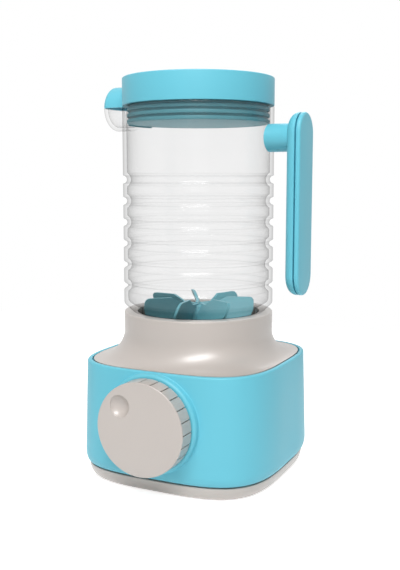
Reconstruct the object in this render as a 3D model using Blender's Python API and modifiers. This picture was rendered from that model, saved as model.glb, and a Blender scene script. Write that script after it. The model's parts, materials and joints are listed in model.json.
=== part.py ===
"""Toy kitchen blender: a battery base with a dial, a clear jar with blades, a handle and a plug-in lid.

Metres, +Z up. The origin is the centre of the underside, on the jar's axis.
The dial faces -Y, the handle is at +X and the spout at -X.
"""

import math

import bmesh
import bpy
from mathutils import Matrix, Vector

# Clearances and cutters
GAP = 0.0003
RUNNING_GAP = 0.0004
CUT_OVERRUN = 0.002

# Facets
BASE_SIDES = 40
ROUND_SIDES = 28
MIDDLE_SIDES = 18
SMALL_SIDES = 12
CORNER_STEPS = 3
FINE_CORNER_STEPS = 2
SMOOTH_ANGLE = math.radians(35)
MERGE_DISTANCE = 0.00001

# Base shell, a rounded square tube that widens a little downwards
SHELL_HALF_BOTTOM = 0.0645
SHELL_TAPER = 0.0018
SHELL_HEIGHT = 0.0655
SHELL_WALL = 0.0025
SHELL_LIP_WIDTH = 0.0025
SHELL_LIP_DEPTH = 0.0025
SHELL_LEDGE = 0.0018
SHELL_LEDGE_THICKNESS = 0.0020
SHELL_EDGE_ROUNDING = 0.0012
SHELL_BOTTOM_CURVE = 0.0065
SHELL_BOTTOM_INSET = 0.0021
SHELL_BOTTOM_WALL = 0.0018
SHELL_SQUARENESS = 3.55

# Base tray
TRAY_SIDE_HEIGHT = 0.0090
TRAY_INSET_TOP = 0.0001
TRAY_INSET_FLOOR = 0.0056
TRAY_FLOOR = 0.0025
TRAY_WALL = 0.0025
TRAY_LIP_HEIGHT = 0.0040
TRAY_LIP_WALL = 0.0020
TRAY_SHOULDER = 0.0006
REVEAL_GAP = 0.0005

# Base cover with the collar and the well that holds the jar
COVER_WALL = 0.0025
COVER_SKIRT = 0.0018
COVER_SKIRT_DEPTH = 0.0020
COLLAR_RADIUS = 0.0480
COLLAR_RISE = 0.0285
COLLAR_STRAIGHT = 0.0113
COLLAR_OUTER_ROUNDING = 0.0008
COLLAR_INNER_ROUNDING = 0.0006
WELL_RADIUS = 0.0394
WELL_DEPTH = 0.0214
WELL_WALL = 0.0022
WELL_HOLE_RADIUS = 0.0085
FLARE_STEPS = 5
UNDER_FLARE_STEPS = 3

# Case screws in their posts
POST_INSET_X = 0.0155
POST_INSET_Y = 0.0385
POST_RADIUS = 0.0042
POST_TOP_OF_TRAY = 0.0400
CASE_SCREW_RADIUS = 0.0014
CASE_SCREW_HEAD_RADIUS = 0.0027
CASE_SCREW_HEAD_HEIGHT = 0.0020
CASE_SCREW_SEAT = 0.0080
CASE_SCREW_BITE = 0.0100

# Feet
FOOT_RADIUS = 0.0055
FOOT_INSET = 0.0225
FOOT_THICKNESS = 0.0014

# Batteries, door and contacts
BATTERY_RADIUS = 0.00725
BATTERY_LENGTH = 0.0494
BATTERY_NUB_RADIUS = 0.0026
BATTERY_NUB_LENGTH = 0.0011
BATTERY_COUNT = 3
BATTERY_SPACING = 0.0006
BAY_WALL = 0.0016
DOOR_THICKNESS = 0.0025
DOOR_LEDGE = 0.0030
DOOR_TONGUE = 0.0085
DOOR_SCREW_RADIUS = 0.0012
DOOR_SCREW_HEAD_RADIUS = 0.0025
DOOR_SCREW_HEAD_HEIGHT = 0.0010
DOOR_SCREW_BITE = 0.0060
DOOR_SCREW_BOSS_WALL = 0.0018
CONTACT_THICKNESS = 0.0005
CONTACT_SPRING_LENGTH = 0.0022
CONTACT_SPRING_RADIUS = 0.0040
CONTACT_SPRING_TIP_RADIUS = 0.0025

# Dial and its switch
DIAL_ABOVE_MIDDLE = 0.00205
DIAL_RADIUS = 0.0282
DIAL_THICKNESS = 0.0120
DIAL_EDGE_ROUNDING = 0.0010
DIAL_GROOVES = 24
DIAL_GROOVE_WIDTH = 0.0007
DIAL_GROOVE_DEPTH = 0.0007
DIAL_DIMPLE_DISTANCE = 0.0182
DIAL_DIMPLE_ANGLE = math.radians(135)
DIAL_DIMPLE_RADIUS = 0.0067
DIAL_DIMPLE_DEPTH = 0.0036
DIAL_BOSS_RADIUS = 0.0304
DIAL_BOSS_PROUD = 0.0033
DIAL_BOSS_ROUNDING = 0.0022
SPINDLE_RADIUS = 0.0030
SPINDLE_SOCKET = 0.0060
SWITCH_RADIUS = 0.0120
SWITCH_THICKNESS = 0.0050
SWITCH_SCREW_PLACE = 0.0085
SWITCH_SCREW_RADIUS = 0.0009
SWITCH_SCREW_HEAD_RADIUS = 0.0018
SWITCH_SCREW_HEAD_HEIGHT = 0.0010
SWITCH_SCREW_BITE = 0.0035
WIPER_RADIUS = 0.0055
WIPER_THICKNESS = 0.0024
WIPER_ARM_REACH = 0.0105
WIPER_ARM_WIDTH = 0.0030
DIAL_SCREW_RADIUS = 0.0011
DIAL_SCREW_BITE = 0.0050
DIAL_SCREW_HEAD_RADIUS = 0.0040
DIAL_SCREW_HEAD_HEIGHT = 0.0015

# Gears, motor and frame
GEAR_MODULE = 0.0010
GEAR_TEETH = 40
PINION_TEETH = 16
GEAR_THICKNESS = 0.0040
PINION_EXTRA = 0.0020
TOOTH_THINNING = 0.00022
PRESSURE_ANGLE = math.radians(20)
TOOTH_ABOVE_PITCH = 0.90
TOOTH_BELOW_PITCH = 1.25
FLANK_STEPS = 2
FRAME_PLATE = 0.0025
FRAME_SPACE = 0.0080
FRAME_MARGIN = 0.0010
FRAME_PILLAR_RADIUS = 0.0038
FRAME_SCREW_RADIUS = 0.0012
FRAME_SCREW_HEAD_RADIUS = 0.0025
FRAME_SCREW_HEAD_HEIGHT = 0.0018
MOTOR_ABOVE_BAY = 0.0058
MOTOR_RADIUS = 0.0100
MOTOR_FLAT_WIDTH = 0.0152
MOTOR_LENGTH = 0.0240
MOTOR_COLLAR_RADIUS = 0.0030
MOTOR_COLLAR_HEIGHT = 0.0015
MOTOR_SHAFT_RADIUS = 0.0010
MOTOR_SHAFT_DEPTH = 0.0040
DRIVE_SHAFT_RADIUS = 0.0020
BUSH_WALL = 0.0016
BUSH_FLANGE = 0.0016
BUSH_FLANGE_THICKNESS = 0.0010
SHAFT_TAIL = 0.0040

# Leads between the batteries, the switch and the motor
LEAD_RADIUS = 0.0006
LEAD_BEND = 0.0020
LEAD_ABOVE_BAY = 0.0016
CONTACT_TAB_WIDTH = 0.0040
CONTACT_TAB_PLACE = 0.0180
CONTACT_TAB_ABOVE_LEAD = 0.0012
SWITCH_LEAD_PLACE = 0.0040
SWITCH_LEAD_DEPTH = 0.0040
MOTOR_LEAD_PLACE = 0.0050
MOTOR_LEAD_DEPTH = 0.0015

# Couplings between the base and the jar
COUPLING_HEX_RADIUS = 0.0060
COUPLING_ENGAGEMENT = 0.0040
COUPLING_CUP_WALL = 0.0020
COUPLING_ROOF = 0.0016
COUPLING_LIFT = 0.0008

# Jar
JAR_RADIUS = 0.0480
JAR_WALL = 0.0025
JAR_BODY_HEIGHT = 0.1242
JAR_TAPER = 0.0053
JAR_SHOULDER_INSET = 0.0054
JAR_SEAT_GAP = 0.0004
JAR_FOOT_SKIRT = 0.0075
JAR_FOOT_WALL = 0.0020
JAR_FLOOR = 0.0025
JAR_BOSS_HEIGHT = 0.0015
JAR_BOSS_ROOF = 0.0012
JAR_GROOVES = 6
JAR_GROOVE_PITCH = 0.0135
JAR_GROOVE_DEPTH = 0.0024
JAR_GROOVE_WIDTH = 0.0050
JAR_FIRST_GROOVE = 0.0457
GROOVE_STEPS = 3

# Spout, split between the jar and the lid
SPOUT_RADIUS = 0.0142
SPOUT_REACH = 0.0172
SPOUT_DOME = 0.0060
SPOUT_WALL = 0.0022
DOME_STEPS = 4

# Blades
BLADE_COUNT = 7
BLADE_REACH = 0.0360
BLADE_THICKNESS = 0.0016
BLADE_FLOOR_GAP = 0.0046
BLADE_HEIGHT = 0.0150
BLADE_SHOULDER_REACH = 0.0183
BLADE_SHOULDER_DROP = 0.0043
BLADE_SHOULDER_INNER = 0.0110
BLADE_CORNER = 0.0030
BLADE_HEEL = 0.0026
BLADE_TILT = math.radians(24)
FIRST_BLADE_ANGLE = math.radians(-87.8)
HUB_RADIUS = 0.0052
HUB_HEIGHT = 0.0130
BLADE_SPINDLE_RADIUS = 0.0015
BLADE_SPINDLE_BITE = 0.0080
BLADE_BUSH_RADIUS = 0.0042

# Lid
LID_HEIGHT = 0.0169
LID_TOP = 0.0025
LID_WALL = 0.0028
LID_EDGE_ROUNDING = 0.0006
PLUG_DEPTH = 0.0112
PLUG_WALL = 0.0018
PLUG_FLOOR = 0.0020
SEAL_WALL = 0.0009
SEAL_LIP = 0.0016
SEAL_LIP_HEIGHT = 0.0023
SEAL_LIP_PITCH = 0.0037
SEAL_LIPS = 3
SEAL_GAP = 0.0004
SEAL_TONGUE_GAP = 0.0004

# Handle
HANDLE_BELOW_RIM = 0.0057
HANDLE_LENGTH = 0.1103
HANDLE_WIDTH = 0.0255
HANDLE_STANDOFF = 0.0145
HANDLE_INNER_THICKNESS = 0.0060
HANDLE_INNER_ROUNDING = 0.0052
HANDLE_INNER_INSET = 0.0055
HANDLE_OUTER_THICKNESS = 0.0027
HANDLE_STEP_HEIGHT = 0.0006
HANDLE_STEP_INSET = 0.0013
HANDLE_EDGE_ROUNDING = 0.0008
HANDLE_BOSS_RADIUS = 0.0085
HANDLE_BOSS_WALL = 0.0022
HANDLE_BOSS_DROP = 0.01485
HANDLE_STUD_RADIUS = 0.0050
HANDLE_SCREW_RADIUS = 0.0014
HANDLE_SCREW_HEAD_RADIUS = 0.0028
HANDLE_SCREW_HEAD_HEIGHT = 0.0014
HANDLE_SCREW_BITE = 0.0080
HANDLE_PEG_RADIUS = 0.0018
HANDLE_PEG_LENGTH = 0.0022
HANDLE_PEG_BELOW_BOSS = 0.0040
STADIUM_STEPS = 10

# Levels and places worked out from the sizes above
SHELL_HALF_TOP = SHELL_HALF_BOTTOM - SHELL_TAPER
SHELL_BOTTOM = TRAY_SIDE_HEIGHT + REVEAL_GAP
RIM = SHELL_BOTTOM + SHELL_HEIGHT
POST_X = SHELL_HALF_BOTTOM - POST_INSET_X
POST_Y = SHELL_HALF_BOTTOM - POST_INSET_Y
FOOT_PLACE = SHELL_HALF_BOTTOM - FOOT_INSET
DIAL_HEIGHT = (SHELL_BOTTOM + RIM) / 2 + DIAL_ABOVE_MIDDLE
COLLAR_TOP = RIM + COLLAR_RISE
WELL_FLOOR = COLLAR_TOP - WELL_DEPTH
WELL_UNDERSIDE = WELL_FLOOR - COVER_WALL
JAR_FOOT = WELL_FLOOR + GAP
JAR_FOOT_RADIUS = WELL_RADIUS - JAR_SEAT_GAP
JAR_FLOOR_UNDERSIDE = JAR_FOOT + JAR_FOOT_SKIRT
JAR_FLOOR_TOP = JAR_FLOOR_UNDERSIDE + JAR_FLOOR
JAR_BOSS_TOP = JAR_FLOOR_TOP + JAR_BOSS_HEIGHT
JAR_SHOULDER = COLLAR_TOP + GAP
JAR_BODY_BOTTOM = JAR_SHOULDER + JAR_TAPER
JAR_RIM = JAR_BODY_BOTTOM + JAR_BODY_HEIGHT
JAR_BORE = JAR_RADIUS - JAR_WALL
LID_BOTTOM = JAR_RIM + GAP
LID_CEILING = LID_BOTTOM + LID_HEIGHT - LID_TOP
GEAR_RADIUS = GEAR_MODULE * GEAR_TEETH / 2
PINION_RADIUS = GEAR_MODULE * PINION_TEETH / 2
MOTOR_X = GEAR_RADIUS + PINION_RADIUS
BATTERY_PITCH = 2 * BATTERY_RADIUS + BATTERY_SPACING
BAY_HALF_X = BATTERY_PITCH * (BATTERY_COUNT - 1) / 2 + BATTERY_RADIUS + BATTERY_SPACING
CONTACTS_LENGTH = CONTACT_SPRING_LENGTH + 2 * CONTACT_THICKNESS + 5 * GAP
BAY_LENGTH = BATTERY_LENGTH + BATTERY_NUB_LENGTH + CONTACTS_LENGTH
BAY_HALF_Y = BAY_LENGTH / 2
DOOR_RECESS = DOOR_THICKNESS + GAP
BATTERY_AXIS = DOOR_THICKNESS + GAP + BATTERY_RADIUS
BAY_ROOF = BATTERY_AXIS + BATTERY_RADIUS + BATTERY_SPACING
BAY_TOP = BAY_ROOF + BAY_WALL
LEAD_HEIGHT = BAY_TOP + LEAD_ABOVE_BAY
MOTOR_BOTTOM = BAY_TOP + MOTOR_ABOVE_BAY
FRAME_LOWER_BOTTOM = MOTOR_BOTTOM + MOTOR_LENGTH + GAP
FRAME_LOWER_TOP = FRAME_LOWER_BOTTOM + FRAME_PLATE
FRAME_UPPER_BOTTOM = FRAME_LOWER_TOP + FRAME_SPACE
FRAME_UPPER_TOP = FRAME_UPPER_BOTTOM + FRAME_PLATE
FRAME_SCREW_BITE = (WELL_UNDERSIDE - FRAME_UPPER_TOP) / 2
DOOR_SCREW_Y = BAY_HALF_Y + DOOR_LEDGE + DOOR_TONGUE / 2
HANDLE_TOP = JAR_RIM - HANDLE_BELOW_RIM
HANDLE_INNER_FACE = JAR_RADIUS + HANDLE_STANDOFF
HANDLE_INNER_BACK = HANDLE_INNER_FACE + HANDLE_INNER_THICKNESS
HANDLE_OUTER_FACE = HANDLE_INNER_BACK + HANDLE_STEP_HEIGHT + GAP
HANDLE_BOSS_AXIS = HANDLE_TOP - HANDLE_BOSS_DROP
HANDLE_MIDDLE = HANDLE_TOP - HANDLE_LENGTH / 2


def clear_scene():
    for obj in list(bpy.data.objects):
        bpy.data.objects.remove(obj)


def new_collection(name):
    collection = bpy.data.collections.new(name)
    bpy.context.scene.collection.children.link(collection)
    return collection


clear_scene()
parts = new_collection("toy_blender")
cutters = new_collection("cutters")
cutters.hide_render = True


def material(name, color, roughness, metallic=0.0, alpha=1.0):
    made = bpy.data.materials.new(name)
    made.use_nodes = True
    shader = made.node_tree.nodes["Principled BSDF"]
    shader.inputs["Base Color"].default_value = (*color, 1.0)
    shader.inputs["Roughness"].default_value = roughness
    shader.inputs["Metallic"].default_value = metallic
    shader.inputs["Alpha"].default_value = alpha
    return made


BLUE = material("blue_plastic", (0.10, 0.62, 0.78), 0.45)
TEAL = material("teal_plastic", (0.06, 0.42, 0.50), 0.50)
GREY = material("warm_grey_plastic", (0.55, 0.51, 0.47), 0.35)
CLEAR = material("clear_plastic", (0.92, 0.95, 0.96), 0.08, alpha=0.25)
WHITE = material("white_plastic", (0.82, 0.82, 0.80), 0.40)
RUBBER = material("dark_rubber", (0.05, 0.05, 0.05), 0.90)
STEEL = material("steel", (0.60, 0.60, 0.60), 0.30, 1.0)
BRASS = material("brass", (0.70, 0.52, 0.22), 0.30, 1.0)
RED_SLEEVE = material("red_sleeve", (0.45, 0.04, 0.03), 0.60)
CELL = material("battery_sleeve", (0.12, 0.13, 0.15), 0.35)


def mesh_object(name, built):
    """An object from a bmesh, with its faces turned outwards."""
    bmesh.ops.recalc_face_normals(built, faces=built.faces)
    mesh = bpy.data.meshes.new(name)
    built.to_mesh(mesh)
    built.free()
    return bpy.data.objects.new(name, mesh)


def keep(obj, finish, parent=None):
    """Puts an object, modelled in world places, into the model under its parent."""
    parts.objects.link(obj)
    obj.data.materials.append(finish)
    if parent:
        obj.parent = parent
        obj.location = obj.location - Vector(parent["place"])
    shade(obj)
    return obj


def shade(obj):
    obj.data.shade_smooth()
    obj.data.set_sharp_from_angle(angle=SMOOTH_ANGLE)


def axis_empty(name, location, parent=None):
    """An empty on a joint's axis, which remembers its place in the world."""
    made = bpy.data.objects.new(name, None)
    parts.objects.link(made)
    made["place"] = tuple(location)
    made.location = Vector(location)
    if parent:
        made.parent = parent
        made.location = Vector(location) - Vector(parent["place"])
    return made


def helper(obj):
    cutters.objects.link(obj)
    obj.hide_render = True
    obj.display_type = "WIRE"
    return obj


def boolean(obj, other, operation):
    if other.name not in cutters.objects:
        helper(other)
    modifier = obj.modifiers.new(operation.lower(), "BOOLEAN")
    modifier.operation = operation
    modifier.solver = "EXACT"
    modifier.object = other
    return obj


def cut(obj, *others):
    for other in others:
        boolean(obj, other, "DIFFERENCE")
    return obj


def join(obj, *others):
    for other in others:
        boolean(obj, other, "UNION")
    return obj


def turned(name, profile, sides=ROUND_SIDES, closed=False):
    """A profile of (radius, height), down its outer side, turned about Z."""
    built = bmesh.new()
    points = [built.verts.new((radius, 0, height)) for radius, height in profile]
    for first, second in zip(points, points[1:]):
        built.edges.new((first, second))
    if closed:
        built.edges.new((points[-1], points[0]))
    mesh = bpy.data.meshes.new(name)
    built.to_mesh(mesh)
    built.free()
    obj = bpy.data.objects.new(name, mesh)
    screw = obj.modifiers.new("turn", "SCREW")
    screw.axis = "Z"
    screw.steps = sides
    screw.render_steps = sides
    screw.use_merge_vertices = True
    screw.merge_threshold = MERGE_DISTANCE
    return obj


def lie_along(obj, direction, place):
    """Turns a shape made along Z to lie along a direction, with its zero at the place."""
    obj.rotation_euler = Vector(direction).to_track_quat("Z", "Y").to_euler()
    obj.location = Vector(place)
    return obj


def cylinder(name, radius, bottom, top, place=(0, 0), sides=SMALL_SIDES):
    built = bmesh.new()
    middle = Matrix.Translation((place[0], place[1], (bottom + top) / 2))
    bmesh.ops.create_cone(
        built,
        cap_ends=True,
        segments=sides,
        radius1=radius,
        radius2=radius,
        depth=top - bottom,
        matrix=middle,
    )
    return mesh_object(name, built)


def cylinder_along(name, radius, axis, start, end, place, sides=SMALL_SIDES):
    """A cylinder along X or Y from start to end, with its axis at the place in the other two directions."""
    built = bmesh.new()
    turn = Matrix.Rotation(math.pi / 2, 4, "Y" if axis == "X" else "X")
    middle = (start + end) / 2
    centre = (middle, place[0], place[1]) if axis == "X" else (place[0], middle, place[1])
    bmesh.ops.create_cone(
        built,
        cap_ends=True,
        segments=sides,
        radius1=radius,
        radius2=radius,
        depth=end - start,
        matrix=Matrix.Translation(centre) @ turn,
    )
    return mesh_object(name, built)


def box(name, low, high):
    built = bmesh.new()
    size = Vector(high) - Vector(low)
    middle = (Vector(high) + Vector(low)) / 2
    bmesh.ops.create_cube(built, size=1, matrix=Matrix.Translation(middle) @ Matrix.Diagonal((*size, 1)))
    return mesh_object(name, built)


def extruded(name, outline, bottom, top):
    """A flat outline of (x, y) raised from bottom to top."""
    built = bmesh.new()
    face = built.faces.new([built.verts.new((x, y, bottom)) for x, y in outline])
    raised = bmesh.ops.extrude_face_region(built, geom=[face])["geom"]
    moved = [item for item in raised if isinstance(item, bmesh.types.BMVert)]
    bmesh.ops.translate(built, verts=moved, vec=(0, 0, top - bottom))
    return mesh_object(name, built)


def rounded_square(half_width, angle):
    """How far the rounded square of this half width reaches at an angle."""
    across = abs(math.cos(angle)) ** SHELL_SQUARENESS + abs(math.sin(angle)) ** SHELL_SQUARENESS
    return half_width / across ** (1 / SHELL_SQUARENESS)


def square_ring(half_width, height):
    return half_width, half_width, 1.0, height


def round_ring(radius, height):
    return radius, radius, 0.0, height


def lofted(name, rings, closed):
    """Skins rings of (radius, half width, share of the square, height), as a tube or a capped stack."""
    built = bmesh.new()
    rows = []
    for radius, half_width, share, height in rings:
        row = []
        for index in range(BASE_SIDES):
            angle = math.tau * (index + 0.5) / BASE_SIDES
            reach = (1 - share) * radius + share * rounded_square(half_width, angle)
            row.append(built.verts.new((reach * math.cos(angle), reach * math.sin(angle), height)))
        rows.append(row)
    pairs = list(zip(rows, rows[1:]))
    if closed:
        pairs.append((rows[-1], rows[0]))
    else:
        built.faces.new(rows[0])
        built.faces.new(rows[-1])
    for first, second in pairs:
        for index in range(BASE_SIDES):
            following = (index + 1) % BASE_SIDES
            built.faces.new((first[index], first[following], second[following], second[index]))
    return mesh_object(name, built)


def quarter_round(radius_in, height_in, radius_out, height_out, steps=CORNER_STEPS):
    """Points of a rounded corner, from its flat top at the inside to its side at the outside."""
    points = []
    for index in range(steps + 1):
        turn = math.pi / 2 * index / steps
        across = radius_in + (radius_out - radius_in) * math.sin(turn)
        along = height_out + (height_in - height_out) * math.cos(turn)
        points.append((across, along))
    return points


def shell_half_width(height):
    share = (height - SHELL_BOTTOM) / SHELL_HEIGHT
    return SHELL_HALF_BOTTOM + (SHELL_HALF_TOP - SHELL_HALF_BOTTOM) * share


SHELL_OPENING = SHELL_HALF_BOTTOM - SHELL_BOTTOM_INSET - SHELL_BOTTOM_WALL
LEDGE_TOP = RIM - SHELL_LIP_DEPTH
LEDGE_INNER = SHELL_HALF_TOP - SHELL_LIP_WIDTH - SHELL_LEDGE
COVER_EDGE = SHELL_HALF_TOP - SHELL_LIP_WIDTH - GAP
SHELL_FACE = -shell_half_width(DIAL_HEIGHT)
DIAL_BOSS_FACE = SHELL_FACE - DIAL_BOSS_PROUD
DIAL_BACK = DIAL_BOSS_FACE - GAP
DIAL_FRONT = DIAL_BACK - DIAL_THICKNESS
SWITCH_FRONT = SHELL_FACE + SHELL_WALL + GAP + SHELL_TAPER * SWITCH_RADIUS / SHELL_HEIGHT
SWITCH_BACK = SWITCH_FRONT + SWITCH_THICKNESS
WIPER_FRONT = SWITCH_BACK + GAP
WIPER_BACK = WIPER_FRONT + WIPER_THICKNESS


def make_base_shell():
    edge = RIM - SHELL_EDGE_ROUNDING
    lip_edge = quarter_round(SHELL_HALF_TOP - SHELL_EDGE_ROUNDING, RIM, shell_half_width(edge), edge)
    outside = [square_ring(half_width, height) for half_width, height in lip_edge]
    curve_top = SHELL_BOTTOM + SHELL_BOTTOM_CURVE
    for index in range(CORNER_STEPS + 1):
        turn = math.pi / 2 * index / CORNER_STEPS
        half_width = shell_half_width(curve_top) - SHELL_BOTTOM_INSET * (1 - math.cos(turn))
        outside.append(square_ring(half_width, curve_top - SHELL_BOTTOM_CURVE * math.sin(turn)))
    lip_inner = SHELL_HALF_TOP - SHELL_LIP_WIDTH
    under_ledge = LEDGE_TOP - SHELL_LEDGE_THICKNESS
    inside = [
        square_ring(SHELL_OPENING, SHELL_BOTTOM),
        square_ring(SHELL_OPENING, SHELL_BOTTOM + TRAY_LIP_HEIGHT + GAP),
        square_ring(shell_half_width(curve_top) - SHELL_WALL, curve_top),
        square_ring(shell_half_width(under_ledge) - SHELL_WALL, under_ledge),
        square_ring(LEDGE_INNER, under_ledge),
        square_ring(LEDGE_INNER, LEDGE_TOP),
        square_ring(lip_inner, LEDGE_TOP),
        square_ring(lip_inner, RIM),
    ]
    shell = lofted("base_shell", outside + inside, closed=True)
    boss_root = SHELL_WALL * 3 / 4
    boss_height = DIAL_BOSS_PROUD + boss_root
    profile = [(0, boss_height)]
    profile += quarter_round(
        DIAL_BOSS_RADIUS - DIAL_BOSS_ROUNDING, boss_height, DIAL_BOSS_RADIUS, boss_height - DIAL_BOSS_ROUNDING
    )
    profile += [(DIAL_BOSS_RADIUS, 0), (0, 0)]
    boss = turned("dial_boss", profile)
    lie_along(boss, (0, -1, 0), (0, SHELL_FACE + boss_root, DIAL_HEIGHT))
    bore = cylinder_along(
        "spindle_hole",
        SPINDLE_RADIUS + RUNNING_GAP,
        "Y",
        DIAL_BOSS_FACE - CUT_OVERRUN,
        SHELL_FACE + SHELL_WALL + CUT_OVERRUN,
        (0, DIAL_HEIGHT),
    )
    join(shell, boss)
    cut(shell, bore)
    for side in (-1, 1):
        pilot = cylinder_along(
            "switch_pilot",
            SWITCH_SCREW_RADIUS + GAP,
            "Y",
            SHELL_FACE + SHELL_WALL - SWITCH_SCREW_BITE - GAP,
            SHELL_FACE + SHELL_WALL + CUT_OVERRUN,
            (side * SWITCH_SCREW_PLACE, DIAL_HEIGHT),
        )
        cut(shell, pilot)
    keep(shell, BLUE)


def make_base_cover():
    flare_top = COLLAR_TOP - COLLAR_OUTER_ROUNDING - COLLAR_STRAIGHT
    top = [round_ring(WELL_HOLE_RADIUS, WELL_FLOOR), round_ring(WELL_RADIUS, WELL_FLOOR)]
    inner_edge = quarter_round(
        WELL_RADIUS + COLLAR_INNER_ROUNDING,
        COLLAR_TOP,
        WELL_RADIUS,
        COLLAR_TOP - COLLAR_INNER_ROUNDING,
        FINE_CORNER_STEPS,
    )
    top += [round_ring(radius, height) for radius, height in reversed(inner_edge)]
    outer_edge = quarter_round(
        COLLAR_RADIUS - COLLAR_OUTER_ROUNDING, COLLAR_TOP, COLLAR_RADIUS, COLLAR_TOP - COLLAR_OUTER_ROUNDING
    )
    top += [round_ring(radius, height) for radius, height in outer_edge]
    for index in range(FLARE_STEPS + 1):
        turn = math.pi / 2 * index / FLARE_STEPS
        height = flare_top - (flare_top - RIM) * math.sin(turn)
        top.append((COLLAR_RADIUS, COVER_EDGE, 1 - math.cos(turn), height))
    skirt = LEDGE_INNER - GAP
    skirt_bottom = LEDGE_TOP - COVER_SKIRT_DEPTH
    under = [
        square_ring(COVER_EDGE, LEDGE_TOP + GAP),
        square_ring(skirt, LEDGE_TOP + GAP),
        square_ring(skirt, skirt_bottom),
        square_ring(skirt - COVER_SKIRT, skirt_bottom),
    ]
    inside = COLLAR_RADIUS - COVER_WALL
    for index in range(UNDER_FLARE_STEPS, -1, -1):
        turn = math.pi / 2 * index / UNDER_FLARE_STEPS
        height = flare_top - COVER_WALL - (flare_top - RIM) * math.sin(turn)
        under.append((inside, skirt - COVER_SKIRT, 1 - math.cos(turn), height))
    well_outside = WELL_RADIUS + WELL_WALL
    ceiling = COLLAR_TOP - COVER_WALL
    under += [
        round_ring(inside, ceiling),
        round_ring(well_outside, ceiling),
        round_ring(well_outside, WELL_UNDERSIDE),
        round_ring(WELL_HOLE_RADIUS, WELL_UNDERSIDE),
    ]
    cover = lofted("base_cover", top + under, closed=True)
    cover_post_bottom = POST_TOP_OF_TRAY + GAP
    for x, y in post_places():
        post = cylinder("cover_post", POST_RADIUS, cover_post_bottom, post_ceiling(), (x, y))
        pilot = cylinder(
            "cover_pilot",
            CASE_SCREW_RADIUS + GAP,
            cover_post_bottom - CUT_OVERRUN,
            cover_post_bottom + CASE_SCREW_BITE + GAP,
            (x, y),
        )
        join(cover, post)
        cut(cover, pilot)
    for x, y in frame_screw_places():
        stud_top = WELL_UNDERSIDE + COVER_WALL / 2
        stud = cylinder("frame_stud", FRAME_PILLAR_RADIUS, FRAME_UPPER_TOP + GAP, stud_top, (x, y))
        pilot = cylinder(
            "frame_pilot",
            FRAME_SCREW_RADIUS + GAP,
            FRAME_UPPER_TOP - CUT_OVERRUN,
            FRAME_UPPER_TOP + FRAME_SCREW_BITE + 2 * GAP,
            (x, y),
        )
        join(cover, stud)
        cut(cover, pilot)
    keep(cover, GREY)


def post_ceiling():
    """The height inside the cover's skin that its posts reach up to."""
    return RIM - COVER_WALL / 2


def post_places():
    return [(x, y) for x in (-POST_X, POST_X) for y in (-POST_Y, POST_Y)]


def pillar_reach():
    """How far the pillars of the gear frame stand from the drive shaft, clear of the gear's teeth."""
    return GEAR_RADIUS + GEAR_MODULE + GAP + FRAME_PILLAR_RADIUS


def frame_screw_places():
    reach = pillar_reach()
    turns = [math.pi / 4 + math.pi / 2 * index for index in range(4)]
    return [(reach * math.cos(turn), reach * math.sin(turn)) for turn in turns]


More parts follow.
